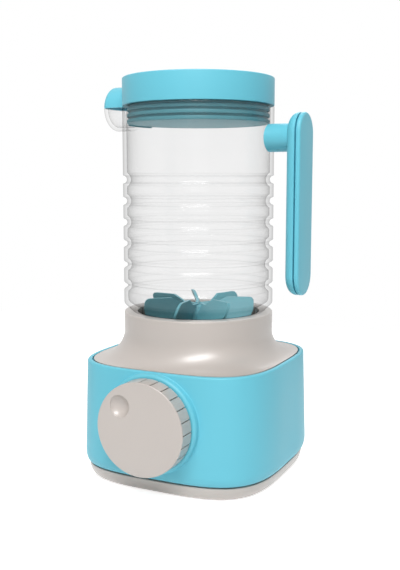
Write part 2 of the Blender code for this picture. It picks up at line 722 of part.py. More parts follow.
def make_base_tray():
    top_half = SHELL_HALF_BOTTOM - SHELL_BOTTOM_INSET - TRAY_INSET_TOP
    floor_half = top_half - TRAY_INSET_FLOOR
    lip_half = SHELL_OPENING - GAP
    rings = [square_ring(floor_half, 0)]
    for index in range(1, CORNER_STEPS + 1):
        turn = math.pi / 2 * index / CORNER_STEPS
        half_width = floor_half + TRAY_INSET_FLOOR * math.sin(turn)
        height = (TRAY_SIDE_HEIGHT - TRAY_SHOULDER) * (1 - math.cos(turn))
        rings.append(square_ring(half_width, height))
    rings.append(square_ring(top_half, TRAY_SIDE_HEIGHT))
    rings.append(square_ring(lip_half, TRAY_SIDE_HEIGHT))
    lip_top = SHELL_BOTTOM + TRAY_LIP_HEIGHT
    rings.append(square_ring(lip_half, lip_top))
    rings.append(square_ring(lip_half - TRAY_LIP_WALL, lip_top))
    rings.append(square_ring(lip_half - TRAY_LIP_WALL, TRAY_SIDE_HEIGHT))
    rings.append(square_ring(floor_half - TRAY_WALL, TRAY_FLOOR))
    tray = lofted("base_tray", rings, closed=False)
    ledge = (BAY_HALF_X + DOOR_LEDGE + BAY_WALL, BAY_HALF_Y + DOOR_LEDGE + BAY_WALL)
    door_end = BAY_HALF_Y + DOOR_LEDGE + DOOR_TONGUE
    frame_top = DOOR_RECESS + BAY_WALL
    frame_low = (-ledge[0], -ledge[1], TRAY_FLOOR / 2)
    join(tray, box("ledge_frame", frame_low, (ledge[0], door_end + BAY_WALL, frame_top)))
    outer = (BAY_HALF_X + BAY_WALL, BAY_HALF_Y + BAY_WALL)
    join(tray, box("bay_outside", (-outer[0], -outer[1], TRAY_FLOOR / 2), (*outer, BAY_TOP)))
    boss_top = DOOR_RECESS + DOOR_SCREW_BITE + BAY_WALL
    boss_radius = DOOR_SCREW_RADIUS + GAP + DOOR_SCREW_BOSS_WALL
    join(tray, cylinder("door_screw_boss", boss_radius, TRAY_FLOOR, boss_top, (0, DOOR_SCREW_Y)))
    for x, y in post_places():
        join(tray, cylinder("tray_post", POST_RADIUS, TRAY_FLOOR / 2, POST_TOP_OF_TRAY, (x, y)))
    recess = (BAY_HALF_X + DOOR_LEDGE, BAY_HALF_Y + DOOR_LEDGE)
    below = -CUT_OVERRUN
    cut(tray, box("door_recess", (-recess[0], -recess[1], below), (recess[0], door_end, DOOR_RECESS)))
    cut(tray, box("bay_inside", (-BAY_HALF_X, -BAY_HALF_Y, below), (BAY_HALF_X, BAY_HALF_Y, BAY_ROOF)))
    for end, side in ((1, -1), (-1, 1)):
        low, high = contact_tab(end, side)
        slot_low = (low[0] - GAP, low[1] - GAP, BAY_ROOF - CUT_OVERRUN)
        cut(tray, box("contact_slot", slot_low, (high[0] + GAP, high[1] + GAP, BAY_TOP + CUT_OVERRUN)))
    cut(
        tray,
        cylinder(
            "door_screw_pilot",
            DOOR_SCREW_RADIUS + GAP,
            -CUT_OVERRUN,
            DOOR_RECESS + DOOR_SCREW_BITE + GAP,
            (0, DOOR_SCREW_Y),
        ),
    )
    seat = POST_TOP_OF_TRAY - CASE_SCREW_SEAT
    hole_top = POST_TOP_OF_TRAY + CUT_OVERRUN
    for x, y in post_places():
        cut(tray, cylinder("screw_well", CASE_SCREW_HEAD_RADIUS + GAP, below, seat, (x, y)))
        cut(tray, cylinder("screw_hole", CASE_SCREW_RADIUS + GAP, 0, hole_top, (x, y)))
    for x, y in foot_places():
        cut(tray, cylinder("foot_recess", FOOT_RADIUS + GAP, below, FOOT_THICKNESS + GAP, (x, y)))
    keep(tray, GREY)


def foot_places():
    return [(x, y) for x in (-FOOT_PLACE, FOOT_PLACE) for y in (-FOOT_PLACE, FOOT_PLACE)]


def screw(name, place, seat, head_radius, head_height, radius, length, finish=STEEL, parent=None):
    """A screw standing on its head: the head lies under the seat and the shank rises from it."""
    profile = [
        (0, length),
        (radius, length),
        (radius, 0),
        (head_radius, 0),
        (head_radius, -head_height),
        (head_radius / 4, -head_height),
        (0, -head_height / 2),
    ]
    obj = turned(name, profile, SMALL_SIDES)
    obj.location = Vector((place[0], place[1], seat))
    return keep(obj, finish, parent)


def make_feet_and_case_screws():
    for number, place in enumerate(foot_places(), 1):
        keep(cylinder(f"foot_{number}", FOOT_RADIUS, 0, FOOT_THICKNESS, place, MIDDLE_SIDES), RUBBER)
    seat = POST_TOP_OF_TRAY - CASE_SCREW_SEAT - GAP
    for number, place in enumerate(post_places(), 1):
        screw(
            f"case_screw_{number}",
            place,
            seat,
            CASE_SCREW_HEAD_RADIUS,
            CASE_SCREW_HEAD_HEIGHT,
            CASE_SCREW_RADIUS,
            CASE_SCREW_SEAT + CASE_SCREW_BITE,
        )


def contact_tab(end, side):
    """The corners of the tab on the contact at one end of the bay, which rises through the bay's roof."""
    back = end * (BAY_HALF_Y - GAP)
    front = back - end * CONTACT_THICKNESS
    middle = side * CONTACT_TAB_PLACE
    top = LEAD_HEIGHT + CONTACT_TAB_ABOVE_LEAD
    low = (middle - CONTACT_TAB_WIDTH / 2, min(back, front), BATTERY_AXIS)
    return low, (middle + CONTACT_TAB_WIDTH / 2, max(back, front), top)


def make_battery_bay():
    door_axis = axis_empty("battery_door_slide", (0, 0, 0))
    recess = (BAY_HALF_X + DOOR_LEDGE - GAP, BAY_HALF_Y + DOOR_LEDGE - GAP)
    door_end = BAY_HALF_Y + DOOR_LEDGE + DOOR_TONGUE - GAP
    door = box("battery_door", (-recess[0], -recess[1], 0), (recess[0], door_end, DOOR_THICKNESS))
    seat = DOOR_SCREW_HEAD_HEIGHT + 2 * GAP
    screw_place = (0, DOOR_SCREW_Y)
    hole_top = DOOR_THICKNESS + CUT_OVERRUN
    cut(door, cylinder("door_screw_seat", DOOR_SCREW_HEAD_RADIUS + GAP, -CUT_OVERRUN, seat, screw_place))
    cut(door, cylinder("door_screw_hole", DOOR_SCREW_RADIUS + GAP, 0, hole_top, screw_place))
    keep(door, GREY, door_axis)
    screw(
        "battery_door_screw",
        screw_place,
        seat - GAP,
        DOOR_SCREW_HEAD_RADIUS,
        DOOR_SCREW_HEAD_HEIGHT,
        DOOR_SCREW_RADIUS,
        DOOR_RECESS - seat + DOOR_SCREW_BITE,
        STEEL,
        door_axis,
    )
    plus_face = BAY_HALF_Y - GAP
    minus_face = -plus_face
    battery_start = minus_face + CONTACT_THICKNESS + CONTACT_SPRING_LENGTH + GAP
    battery_end = battery_start + BATTERY_LENGTH
    first_x = -BATTERY_PITCH * (BATTERY_COUNT - 1) / 2
    for index in range(BATTERY_COUNT):
        nub_end = battery_end + BATTERY_NUB_LENGTH
        profile = [
            (0, nub_end),
            (BATTERY_NUB_RADIUS, nub_end),
            (BATTERY_NUB_RADIUS, battery_end),
            (BATTERY_RADIUS, battery_end),
            (BATTERY_RADIUS, battery_start),
            (0, battery_start),
        ]
        battery = turned(f"battery_{index + 1}", profile, SMALL_SIDES)
        lie_along(battery, (0, 1, 0), (first_x + BATTERY_PITCH * index, 0, BATTERY_AXIS))
        keep(battery, CELL)
    half_x = BAY_HALF_X - GAP
    low = BATTERY_AXIS - BATTERY_RADIUS / 2
    high = BAY_ROOF - GAP
    plus_back = plus_face - CONTACT_THICKNESS
    minus_front = minus_face + CONTACT_THICKNESS
    plus = box("battery_contact_plus", (-half_x, plus_back, low), (half_x, plus_face, high))
    join(plus, box("plus_tab", *contact_tab(1, -1)))
    keep(plus, BRASS)
    minus = box("battery_contact_minus", (-half_x, minus_face, low), (half_x, minus_front, high))
    join(minus, box("minus_tab", *contact_tab(-1, 1)))
    for index in range(BATTERY_COUNT):
        spring_profile = [
            (0, CONTACT_SPRING_LENGTH + CONTACT_THICKNESS),
            (CONTACT_SPRING_TIP_RADIUS, CONTACT_SPRING_LENGTH + CONTACT_THICKNESS),
            (CONTACT_SPRING_RADIUS, CONTACT_THICKNESS / 2),
            (0, CONTACT_THICKNESS / 2),
        ]
        spring = turned("contact_spring", spring_profile, SMALL_SIDES)
        lie_along(spring, (0, 1, 0), (first_x + BATTERY_PITCH * index, minus_face, BATTERY_AXIS))
        join(minus, spring)
    keep(minus, BRASS)


def make_dial():
    dial_axis = axis_empty("dial_axis", (0, DIAL_BACK, DIAL_HEIGHT))
    half_groove = math.asin(DIAL_GROOVE_WIDTH / 2 / DIAL_RADIUS)
    outline = []
    for index in range(DIAL_GROOVES):
        middle = math.tau * index / DIAL_GROOVES
        bottom = DIAL_RADIUS - DIAL_GROOVE_DEPTH
        outline.append((DIAL_RADIUS, middle - half_groove))
        outline.append((bottom, middle - half_groove / 2))
        outline.append((bottom, middle + half_groove / 2))
        outline.append((DIAL_RADIUS, middle + half_groove))
    body = [(reach * math.cos(turn), reach * math.sin(turn)) for reach, turn in outline]
    dial = extruded("dial", body, DIAL_EDGE_ROUNDING / 2, DIAL_THICKNESS - DIAL_EDGE_ROUNDING)
    face_profile = [(0, DIAL_THICKNESS)]
    face_profile += quarter_round(
        DIAL_RADIUS - DIAL_EDGE_ROUNDING,
        DIAL_THICKNESS,
        DIAL_RADIUS,
        DIAL_THICKNESS - DIAL_EDGE_ROUNDING,
        FINE_CORNER_STEPS,
    )
    face_profile.append((DIAL_RADIUS, DIAL_THICKNESS - 2 * DIAL_EDGE_ROUNDING))
    face_profile.append((0, DIAL_THICKNESS - 2 * DIAL_EDGE_ROUNDING))
    face = turned("dial_face", face_profile, DIAL_GROOVES * 2)
    back_profile = [(0, DIAL_EDGE_ROUNDING), (DIAL_RADIUS - DIAL_GROOVE_DEPTH, DIAL_EDGE_ROUNDING)]
    back_profile += [(DIAL_RADIUS - DIAL_GROOVE_DEPTH, 0), (0, 0)]
    back = turned("dial_back", back_profile, DIAL_GROOVES * 2)
    for helper_part in (dial, face, back):
        lie_along(helper_part, (0, -1, 0), (0, DIAL_BACK, DIAL_HEIGHT))
    dimple_sphere = (DIAL_DIMPLE_RADIUS**2 + DIAL_DIMPLE_DEPTH**2) / (2 * DIAL_DIMPLE_DEPTH)
    built = bmesh.new()
    centre = Vector(
        (
            DIAL_DIMPLE_DISTANCE * math.cos(DIAL_DIMPLE_ANGLE),
            DIAL_FRONT - (dimple_sphere - DIAL_DIMPLE_DEPTH),
            DIAL_HEIGHT + DIAL_DIMPLE_DISTANCE * math.sin(DIAL_DIMPLE_ANGLE),
        )
    )
    turn = Matrix.Rotation(math.pi / 2, 4, "X")
    bmesh.ops.create_uvsphere(
        built,
        u_segments=MIDDLE_SIDES,
        v_segments=SMALL_SIDES,
        radius=dimple_sphere,
        matrix=Matrix.Translation(centre) @ turn,
    )
    dimple = mesh_object("dial_dimple", built)
    socket_radius = SPINDLE_RADIUS + GAP
    place = (0, DIAL_HEIGHT)
    socket_end = DIAL_BACK - SPINDLE_SOCKET
    socket_mouth = DIAL_BACK + CUT_OVERRUN
    socket = cylinder_along("spindle_socket", socket_radius, "Y", socket_end, socket_mouth, place)
    join(dial, face, back)
    cut(dial, dimple, socket)
    keep(dial, GREY, dial_axis)
    spindle = cylinder_along("dial_spindle", SPINDLE_RADIUS, "Y", socket_end + GAP, WIPER_BACK, place)
    pilot = cylinder_along(
        "dial_screw_pilot",
        DIAL_SCREW_RADIUS + GAP,
        "Y",
        WIPER_BACK - DIAL_SCREW_BITE - GAP,
        WIPER_BACK + CUT_OVERRUN,
        place,
    )
    cut(spindle, pilot)
    keep(spindle, WHITE, dial_axis)
    wiper = cylinder_along("switch_wiper", WIPER_RADIUS, "Y", WIPER_FRONT, WIPER_BACK, place)
    arm = box(
        "wiper_arm",
        (0, WIPER_FRONT, DIAL_HEIGHT - WIPER_ARM_WIDTH / 2),
        (WIPER_ARM_REACH, WIPER_BACK - WIPER_THICKNESS / 2, DIAL_HEIGHT + WIPER_ARM_WIDTH / 2),
    )
    bore = cylinder_along(
        "wiper_bore", socket_radius, "Y", WIPER_FRONT - CUT_OVERRUN, WIPER_BACK + CUT_OVERRUN, place
    )
    join(wiper, arm)
    cut(wiper, bore)
    keep(wiper, BRASS, dial_axis)
    head = [
        (0, DIAL_SCREW_HEAD_HEIGHT),
        (DIAL_SCREW_HEAD_RADIUS, DIAL_SCREW_HEAD_HEIGHT),
        (DIAL_SCREW_HEAD_RADIUS, 0),
        (DIAL_SCREW_RADIUS, 0),
        (DIAL_SCREW_RADIUS, -DIAL_SCREW_BITE),
        (0, -DIAL_SCREW_BITE),
    ]
    dial_screw = turned("dial_screw", head, SMALL_SIDES)
    lie_along(dial_screw, (0, 1, 0), (0, WIPER_BACK + GAP, DIAL_HEIGHT))
    keep(dial_screw, STEEL, dial_axis)


def make_switch():
    housing = cylinder_along(
        "switch_housing", SWITCH_RADIUS, "Y", SWITCH_FRONT, SWITCH_BACK, (0, DIAL_HEIGHT), MIDDLE_SIDES
    )
    bore = cylinder_along(
        "switch_bore",
        SPINDLE_RADIUS + RUNNING_GAP,
        "Y",
        SWITCH_FRONT - CUT_OVERRUN,
        SWITCH_BACK + CUT_OVERRUN,
        (0, DIAL_HEIGHT),
    )
    cut(housing, bore)
    rim = DIAL_HEIGHT - SWITCH_RADIUS
    for side in (-1, 1):
        place = (side * SWITCH_LEAD_PLACE, (SWITCH_FRONT + SWITCH_BACK) / 2)
        socket_top = rim + SWITCH_LEAD_DEPTH
        cut(housing, cylinder("lead_socket", LEAD_RADIUS + GAP, rim - CUT_OVERRUN, socket_top, place))
    seat = SWITCH_BACK - SWITCH_SCREW_HEAD_HEIGHT - GAP
    for number, side in enumerate((-1, 1), 1):
        place = (side * SWITCH_SCREW_PLACE, DIAL_HEIGHT)
        hole_start = SWITCH_FRONT - CUT_OVERRUN
        hole = cylinder_along(
            "switch_screw_hole", SWITCH_SCREW_RADIUS + GAP, "Y", hole_start, SWITCH_BACK, place
        )
        sink = cylinder_along(
            "switch_screw_sink", SWITCH_SCREW_HEAD_RADIUS + GAP, "Y", seat, SWITCH_BACK + CUT_OVERRUN, place
        )
        cut(housing, hole, sink)
        reach = seat - SWITCH_FRONT + GAP + SWITCH_SCREW_BITE
        profile = [
            (0, SWITCH_SCREW_HEAD_HEIGHT),
            (SWITCH_SCREW_HEAD_RADIUS, SWITCH_SCREW_HEAD_HEIGHT),
            (SWITCH_SCREW_HEAD_RADIUS, 0),
            (SWITCH_SCREW_RADIUS, 0),
            (SWITCH_SCREW_RADIUS, -reach),
            (0, -reach),
        ]
        switch_screw = turned(f"switch_screw_{number}", profile, SMALL_SIDES // 2)
        lie_along(switch_screw, (0, 1, 0), (place[0], seat + GAP / 2, place[1]))
        keep(switch_screw, STEEL)
    keep(housing, WHITE)


def involute_half_angle(teeth, reach):
    """Half the angle of a tooth at a distance from the gear's centre."""
    pitch_radius = GEAR_MODULE * teeth / 2
    base_radius = pitch_radius * math.cos(PRESSURE_ANGLE)
    at_pitch = (math.pi * GEAR_MODULE / 2 - 2 * TOOTH_THINNING) / 2 / pitch_radius
    slant = math.acos(min(1.0, base_radius / reach))
    opening = math.tan(PRESSURE_ANGLE) - PRESSURE_ANGLE
    return at_pitch + opening - (math.tan(slant) - slant)


def gear_outline(teeth, centre, phase):
    """A spur gear's outline, with involute flanks from the root to the tip."""
    pitch_radius = GEAR_MODULE * teeth / 2
    root = pitch_radius - TOOTH_BELOW_PITCH * GEAR_MODULE
    tip = pitch_radius + TOOTH_ABOVE_PITCH * GEAR_MODULE
    reaches = [root + (tip - root) * index / FLANK_STEPS for index in range(FLANK_STEPS + 1)]
    points = []
    for tooth in range(teeth):
        middle = math.tau * tooth / teeth + phase
        rising = [(reach, middle - involute_half_angle(teeth, reach)) for reach in reaches]
        falling = [(reach, middle + involute_half_angle(teeth, reach)) for reach in reversed(reaches)]
        points += rising + falling
    return [(centre + reach * math.cos(turn), reach * math.sin(turn)) for reach, turn in points]


def make_drive():
    drive_axis = axis_empty("drive_axis", (0, 0, FRAME_LOWER_TOP))
    motor_axis = axis_empty("motor_axis", (MOTOR_X, 0, FRAME_LOWER_TOP))
    middle = (FRAME_LOWER_TOP + FRAME_UPPER_BOTTOM) / 2
    half_gear = GEAR_THICKNESS / 2
    gear = extruded("drive_gear", gear_outline(GEAR_TEETH, 0, 0), middle - half_gear, middle + half_gear)
    shaft_bore = DRIVE_SHAFT_RADIUS + GAP
    cut(gear, cylinder("gear_bore", shaft_bore, middle - GEAR_THICKNESS, middle + GEAR_THICKNESS))
    keep(gear, WHITE, drive_axis)
    half_pinion = (GEAR_THICKNESS + PINION_EXTRA) / 2
    half_tooth = math.pi / PINION_TEETH
    phase = half_tooth if PINION_TEETH % 2 == 0 else 0
    pinion_outline = gear_outline(PINION_TEETH, MOTOR_X, phase)
    pinion = extruded("motor_pinion", pinion_outline, middle - half_pinion, middle + half_pinion)
    motor_bore = MOTOR_SHAFT_RADIUS + GAP
    bore_half = 2 * half_pinion
    cut(pinion, cylinder("pinion_bore", motor_bore, middle - bore_half, middle + bore_half, (MOTOR_X, 0)))
    keep(pinion, BRASS, motor_axis)
    motor_top = FRAME_LOWER_BOTTOM - GAP
    shaft_bottom = motor_top - MOTOR_SHAFT_DEPTH
    keep(
        cylinder("motor_shaft", MOTOR_SHAFT_RADIUS, shaft_bottom, middle + half_pinion, (MOTOR_X, 0)),
        STEEL,
        motor_axis,
    )
    hex_top = WELL_FLOOR + COUPLING_LIFT + COUPLING_ENGAGEMENT
    hub_top = WELL_UNDERSIDE - GAP - CUT_OVERRUN / 2
    hub_bottom = FRAME_UPPER_TOP + BUSH_FLANGE_THICKNESS + 2 * GAP
    coupling = cylinder("drive_coupling", COUPLING_HEX_RADIUS, hub_bottom, hex_top, sides=6)
    cut(coupling, cylinder("coupling_bore", shaft_bore, hub_bottom - CUT_OVERRUN, hub_top))
    keep(coupling, WHITE, drive_axis)
    keep(
        cylinder("drive_shaft", DRIVE_SHAFT_RADIUS, FRAME_LOWER_BOTTOM - SHAFT_TAIL, hub_top - GAP),
        STEEL,
        drive_axis,
    )
    make_bush("drive_bush_lower", FRAME_LOWER_BOTTOM, FRAME_LOWER_TOP, -1)
    make_bush("drive_bush_upper", FRAME_UPPER_BOTTOM, FRAME_UPPER_TOP, 1)


def bush_radius():
    return DRIVE_SHAFT_RADIUS + RUNNING_GAP + BUSH_WALL


def make_bush(name, bottom, top, flange_side):
    """A flanged bush through a frame plate, with its flange below (-1) or above (1) the plate."""
    inner = DRIVE_SHAFT_RADIUS + RUNNING_GAP
    outer = bush_radius()
    flange = outer + BUSH_FLANGE
    if flange_side > 0:
        rim = top + GAP
        profile = [
            (inner, rim + BUSH_FLANGE_THICKNESS),
            (flange, rim + BUSH_FLANGE_THICKNESS),
            (flange, rim),
            (outer, rim),
            (outer, bottom),
            (inner, bottom),
        ]
    else:
        rim = bottom - GAP
        profile = [
            (inner, top),
            (outer, top),
            (outer, rim),
            (flange, rim),
            (flange, rim - BUSH_FLANGE_THICKNESS),
            (inner, rim - BUSH_FLANGE_THICKNESS),
        ]
    keep(turned(name, profile, SMALL_SIDES, closed=True), BRASS)


def frame_plate(name, bottom, top):
    """A rounded plate that carries both gear axes, from the drive side to beyond the motor."""
    motor_reach = MOTOR_X + MOTOR_RADIUS + GAP
    half_width = pillar_reach() * math.sin(math.pi / 4) + FRAME_PILLAR_RADIUS + FRAME_MARGIN
    outline = [
        (-half_width, -half_width),
        (half_width, -half_width),
        (motor_reach, -MOTOR_RADIUS),
        (motor_reach, MOTOR_RADIUS),
        (half_width, half_width),
        (-half_width, half_width),
    ]
    return extruded(name, outline, bottom, top)


def make_gear_frame():
    lower = frame_plate("gear_frame_lower", FRAME_LOWER_BOTTOM, FRAME_LOWER_TOP)
    upper = frame_plate("gear_frame_upper", FRAME_UPPER_BOTTOM, FRAME_UPPER_TOP)
    hole = bush_radius() + GAP
    below_lower = FRAME_LOWER_BOTTOM - CUT_OVERRUN
    above_lower = FRAME_LOWER_TOP + CUT_OVERRUN
    below_upper = FRAME_UPPER_BOTTOM - CUT_OVERRUN
    above_upper = FRAME_UPPER_TOP + CUT_OVERRUN
    pillar_top = FRAME_UPPER_BOTTOM - GAP
    cut(lower, cylinder("lower_bush_hole", hole, below_lower, above_lower))
    cut(upper, cylinder("upper_bush_hole", hole, below_upper, above_upper))
    collar_hole = MOTOR_COLLAR_RADIUS + GAP
    cut(lower, cylinder("motor_collar_hole", collar_hole, below_lower, above_lower, (MOTOR_X, 0)))
    for place in frame_screw_places():
        join(lower, cylinder("pillar", FRAME_PILLAR_RADIUS, FRAME_LOWER_BOTTOM, pillar_top, place))
    hole_radius = FRAME_SCREW_RADIUS + GAP
    length = FRAME_UPPER_TOP - FRAME_LOWER_BOTTOM + GAP + FRAME_SCREW_BITE
    for number, place in enumerate(frame_screw_places(), 1):
        cut(lower, cylinder("lower_screw_hole", hole_radius, below_lower, pillar_top + CUT_OVERRUN, place))
        cut(upper, cylinder("upper_screw_hole", hole_radius, below_upper, above_upper, place))
        screw(
            f"frame_screw_{number}",
            place,
            FRAME_LOWER_BOTTOM - GAP,
            FRAME_SCREW_HEAD_RADIUS,
            FRAME_SCREW_HEAD_HEIGHT,
            FRAME_SCREW_RADIUS,
            length,
        )
    keep(lower, WHITE)
    keep(upper, WHITE)


def make_motor():
    top = FRAME_LOWER_BOTTOM - GAP
    can = cylinder("motor", MOTOR_RADIUS, top - MOTOR_LENGTH, top, (MOTOR_X, 0), MIDDLE_SIDES)
    collar_bottom = top - MOTOR_COLLAR_HEIGHT
    collar_top = top + MOTOR_COLLAR_HEIGHT
    collar = cylinder("motor_collar", MOTOR_COLLAR_RADIUS, collar_bottom, collar_top, (MOTOR_X, 0))
    reach = MOTOR_RADIUS + CUT_OVERRUN
    for side in (-1, 1):
        near = side * MOTOR_FLAT_WIDTH / 2
        far = side * reach
        low = (MOTOR_X - reach, min(near, far), top - MOTOR_LENGTH - CUT_OVERRUN)
        high = (MOTOR_X + reach, max(near, far), top + CUT_OVERRUN)
        cut(can, box("motor_flat", low, high))
    join(can, collar)
    bottom = top - MOTOR_SHAFT_DEPTH - GAP
    bore_radius = MOTOR_SHAFT_RADIUS + RUNNING_GAP
    cut(can, cylinder("motor_bore", bore_radius, bottom, collar_top + CUT_OVERRUN, (MOTOR_X, 0)))
    for side in (-1, 1):
        place = (MOTOR_X, side * MOTOR_LEAD_PLACE)
        socket_top = MOTOR_BOTTOM + MOTOR_LEAD_DEPTH
        cut(can, cylinder("lead_socket", LEAD_RADIUS + GAP, MOTOR_BOTTOM - CUT_OVERRUN, socket_top, place))
    keep(can, STEEL)


def lead(name, points, finish):
    """An insulated wire in straight runs between the points, with its corners cut across."""
    route = [Vector(points[0])]
    for before, corner, after in zip(points, points[1:], points[2:]):
        for other in (before, after):
            step = (Vector(other) - Vector(corner)).normalized() * LEAD_BEND
            route.append(Vector(corner) + step)
    route.append(Vector(points[-1]))
    curve = bpy.data.curves.new(name, "CURVE")
    curve.dimensions = "3D"
    curve.bevel_depth = LEAD_RADIUS
    curve.bevel_resolution = 1
    curve.use_fill_caps = True
    spline = curve.splines.new("POLY")
    spline.points.add(len(route) - 1)
    for point, place in zip(spline.points, route):
        point.co = (*place, 1)
    mesh = bpy.data.meshes.new_from_object(bpy.data.objects.new(name + "_route", curve))
    return keep(bpy.data.objects.new(name, mesh), finish)


def make_leads():
    switch_middle = (SWITCH_FRONT + SWITCH_BACK) / 2
    switch_end = DIAL_HEIGHT - SWITCH_RADIUS + SWITCH_LEAD_DEPTH - GAP
    motor_end = MOTOR_BOTTOM + MOTOR_LEAD_DEPTH - GAP
    contact_end = BAY_HALF_Y - CONTACT_THICKNESS - 2 * GAP
    lead(
        "lead_battery_switch",
        [
            (-SWITCH_LEAD_PLACE, switch_middle, switch_end),
            (-SWITCH_LEAD_PLACE, switch_middle, LEAD_HEIGHT),
            (-CONTACT_TAB_PLACE, switch_middle, LEAD_HEIGHT),
            (-CONTACT_TAB_PLACE, contact_end, LEAD_HEIGHT),
        ],
        RED_SLEEVE,
    )
    lead(
        "lead_switch_motor",
        [
            (SWITCH_LEAD_PLACE, switch_middle, switch_end),
            (SWITCH_LEAD_PLACE, switch_middle, LEAD_HEIGHT),
            (SWITCH_LEAD_PLACE, MOTOR_LEAD_PLACE, LEAD_HEIGHT),
            (MOTOR_X, MOTOR_LEAD_PLACE, LEAD_HEIGHT),
            (MOTOR_X, MOTOR_LEAD_PLACE, motor_end),
        ],
        RED_SLEEVE,
    )
    lead(
        "lead_motor_battery",
        [
            (MOTOR_X, -MOTOR_LEAD_PLACE, motor_end),
            (MOTOR_X, -MOTOR_LEAD_PLACE, LEAD_HEIGHT),
            (CONTACT_TAB_PLACE, -MOTOR_LEAD_PLACE, LEAD_HEIGHT),
            (CONTACT_TAB_PLACE, -contact_end, LEAD_HEIGHT),
        ],
        RUBBER,
    )


def groove_heights():
    return [JAR_RIM - JAR_FIRST_GROOVE - JAR_GROOVE_PITCH * index for index in range(JAR_GROOVES)]


def groove_points(radius, height, width):
    """One groove in a wall of this radius, from its top edge to its bottom edge."""
    points = []
    for index in range(GROOVE_STEPS + 1):
        turn = math.pi * index / GROOVE_STEPS
        across = radius - JAR_GROOVE_DEPTH * math.sin(turn)
        points.append((across, height + width / 2 * math.cos(turn)))
    return points


def spout_solid(name, radius, reach, dome, inward):
    """A tube end along -X with a domed nose, whose axis is at the jar's rim."""
    profile = [(0, reach)]
    for index in range(1, DOME_STEPS + 1):
        turn = math.pi / 2 * index / DOME_STEPS
        profile.append((radius * math.sin(turn), reach - dome * (1 - math.cos(turn))))
    profile += [(radius, -inward), (0, -inward)]
    obj = turned(name, profile, MIDDLE_SIDES)
    return lie_along(obj, (-1, 0, 0), (-JAR_RADIUS, 0, JAR_RIM + GAP / 2))


def half_space(name, bottom, top):
    """A block round the spout between two heights, for splitting it."""
    far = JAR_RADIUS + SPOUT_REACH + CUT_OVERRUN
    side = SPOUT_RADIUS + CUT_OVERRUN
    return box(name, (-far, -side, bottom), (0, side, top))


def make_jar(jar_frame):
    profile = [(JAR_RADIUS, JAR_RIM)]
    for height in groove_heights():
        profile += groove_points(JAR_RADIUS, height, JAR_GROOVE_WIDTH)
    foot_bore = JAR_FOOT_RADIUS - JAR_FOOT_WALL
    spindle_bore = BLADE_SPINDLE_RADIUS + RUNNING_GAP
    profile += [
        (JAR_RADIUS, JAR_BODY_BOTTOM),
        (JAR_RADIUS - JAR_SHOULDER_INSET, JAR_SHOULDER),
        (JAR_FOOT_RADIUS, JAR_SHOULDER),
        (JAR_FOOT_RADIUS, JAR_FOOT),
        (foot_bore, JAR_FOOT),
        (foot_bore, JAR_FLOOR_UNDERSIDE),
        (BLADE_BUSH_RADIUS + GAP, JAR_FLOOR_UNDERSIDE),
        (BLADE_BUSH_RADIUS + GAP, JAR_BOSS_TOP - JAR_BOSS_ROOF),
        (spindle_bore, JAR_BOSS_TOP - JAR_BOSS_ROOF),
        (spindle_bore, JAR_BOSS_TOP),
        (BLADE_BUSH_RADIUS + JAR_WALL, JAR_BOSS_TOP),
        (BLADE_BUSH_RADIUS + JAR_WALL, JAR_FLOOR_TOP),
        (foot_bore, JAR_FLOOR_TOP),
        (foot_bore, JAR_SHOULDER + JAR_WALL / 2),
        (JAR_BORE, JAR_BODY_BOTTOM + JAR_WALL / 2),
    ]
    for height in reversed(groove_heights()):
        profile += reversed(groove_points(JAR_BORE, height, JAR_GROOVE_WIDTH + JAR_WALL))
    profile.append((JAR_BORE, JAR_RIM))
    jar = turned("jar", profile, ROUND_SIDES, closed=True)
    scoop = spout_solid("jar_scoop", SPOUT_RADIUS, SPOUT_REACH, SPOUT_DOME, JAR_WALL / 2)
    upper_half = half_space("above_jar_rim", JAR_RIM, JAR_RIM + SPOUT_RADIUS + CUT_OVERRUN)
    cut(scoop, upper_half)
    channel = spout_solid(
        "jar_channel",
        SPOUT_RADIUS - SPOUT_WALL,
        SPOUT_REACH - SPOUT_WALL,
        SPOUT_DOME - SPOUT_WALL / 2,
        JAR_WALL + CUT_OVERRUN,
    )
    join(jar, scoop)
    cut(jar, channel)
    keep(jar, CLEAR, jar_frame)
    bush = turned(
        "blade_bush",
        [
            (spindle_bore, JAR_BOSS_TOP - JAR_BOSS_ROOF - GAP),
            (BLADE_BUSH_RADIUS, JAR_BOSS_TOP - JAR_BOSS_ROOF - GAP),
            (BLADE_BUSH_RADIUS, JAR_FLOOR_UNDERSIDE),
            (spindle_bore, JAR_FLOOR_UNDERSIDE),
        ],
        SMALL_SIDES,
        closed=True,
    )
    keep(bush, WHITE, jar_frame)


def blade_outline(bottom, top):
    """A blade seen from its flat side, as (distance from the axis, height)."""
    outline = [(HUB_RADIUS / 2, bottom), (BLADE_REACH - BLADE_HEEL, bottom)]
    outline.append((BLADE_REACH, (bottom + top) / 2))
    for index in range(CORNER_STEPS + 1):
        turn = math.pi / 2 * index / CORNER_STEPS
        across = BLADE_REACH - BLADE_CORNER * (1 - math.cos(turn))
        outline.append((across, top - BLADE_CORNER * (1 - math.sin(turn))))
    outline.append((BLADE_SHOULDER_REACH, top))
    outline.append((BLADE_SHOULDER_INNER, top - BLADE_SHOULDER_DROP))
    outline.append((HUB_RADIUS / 2, top - BLADE_SHOULDER_DROP))
    return outline


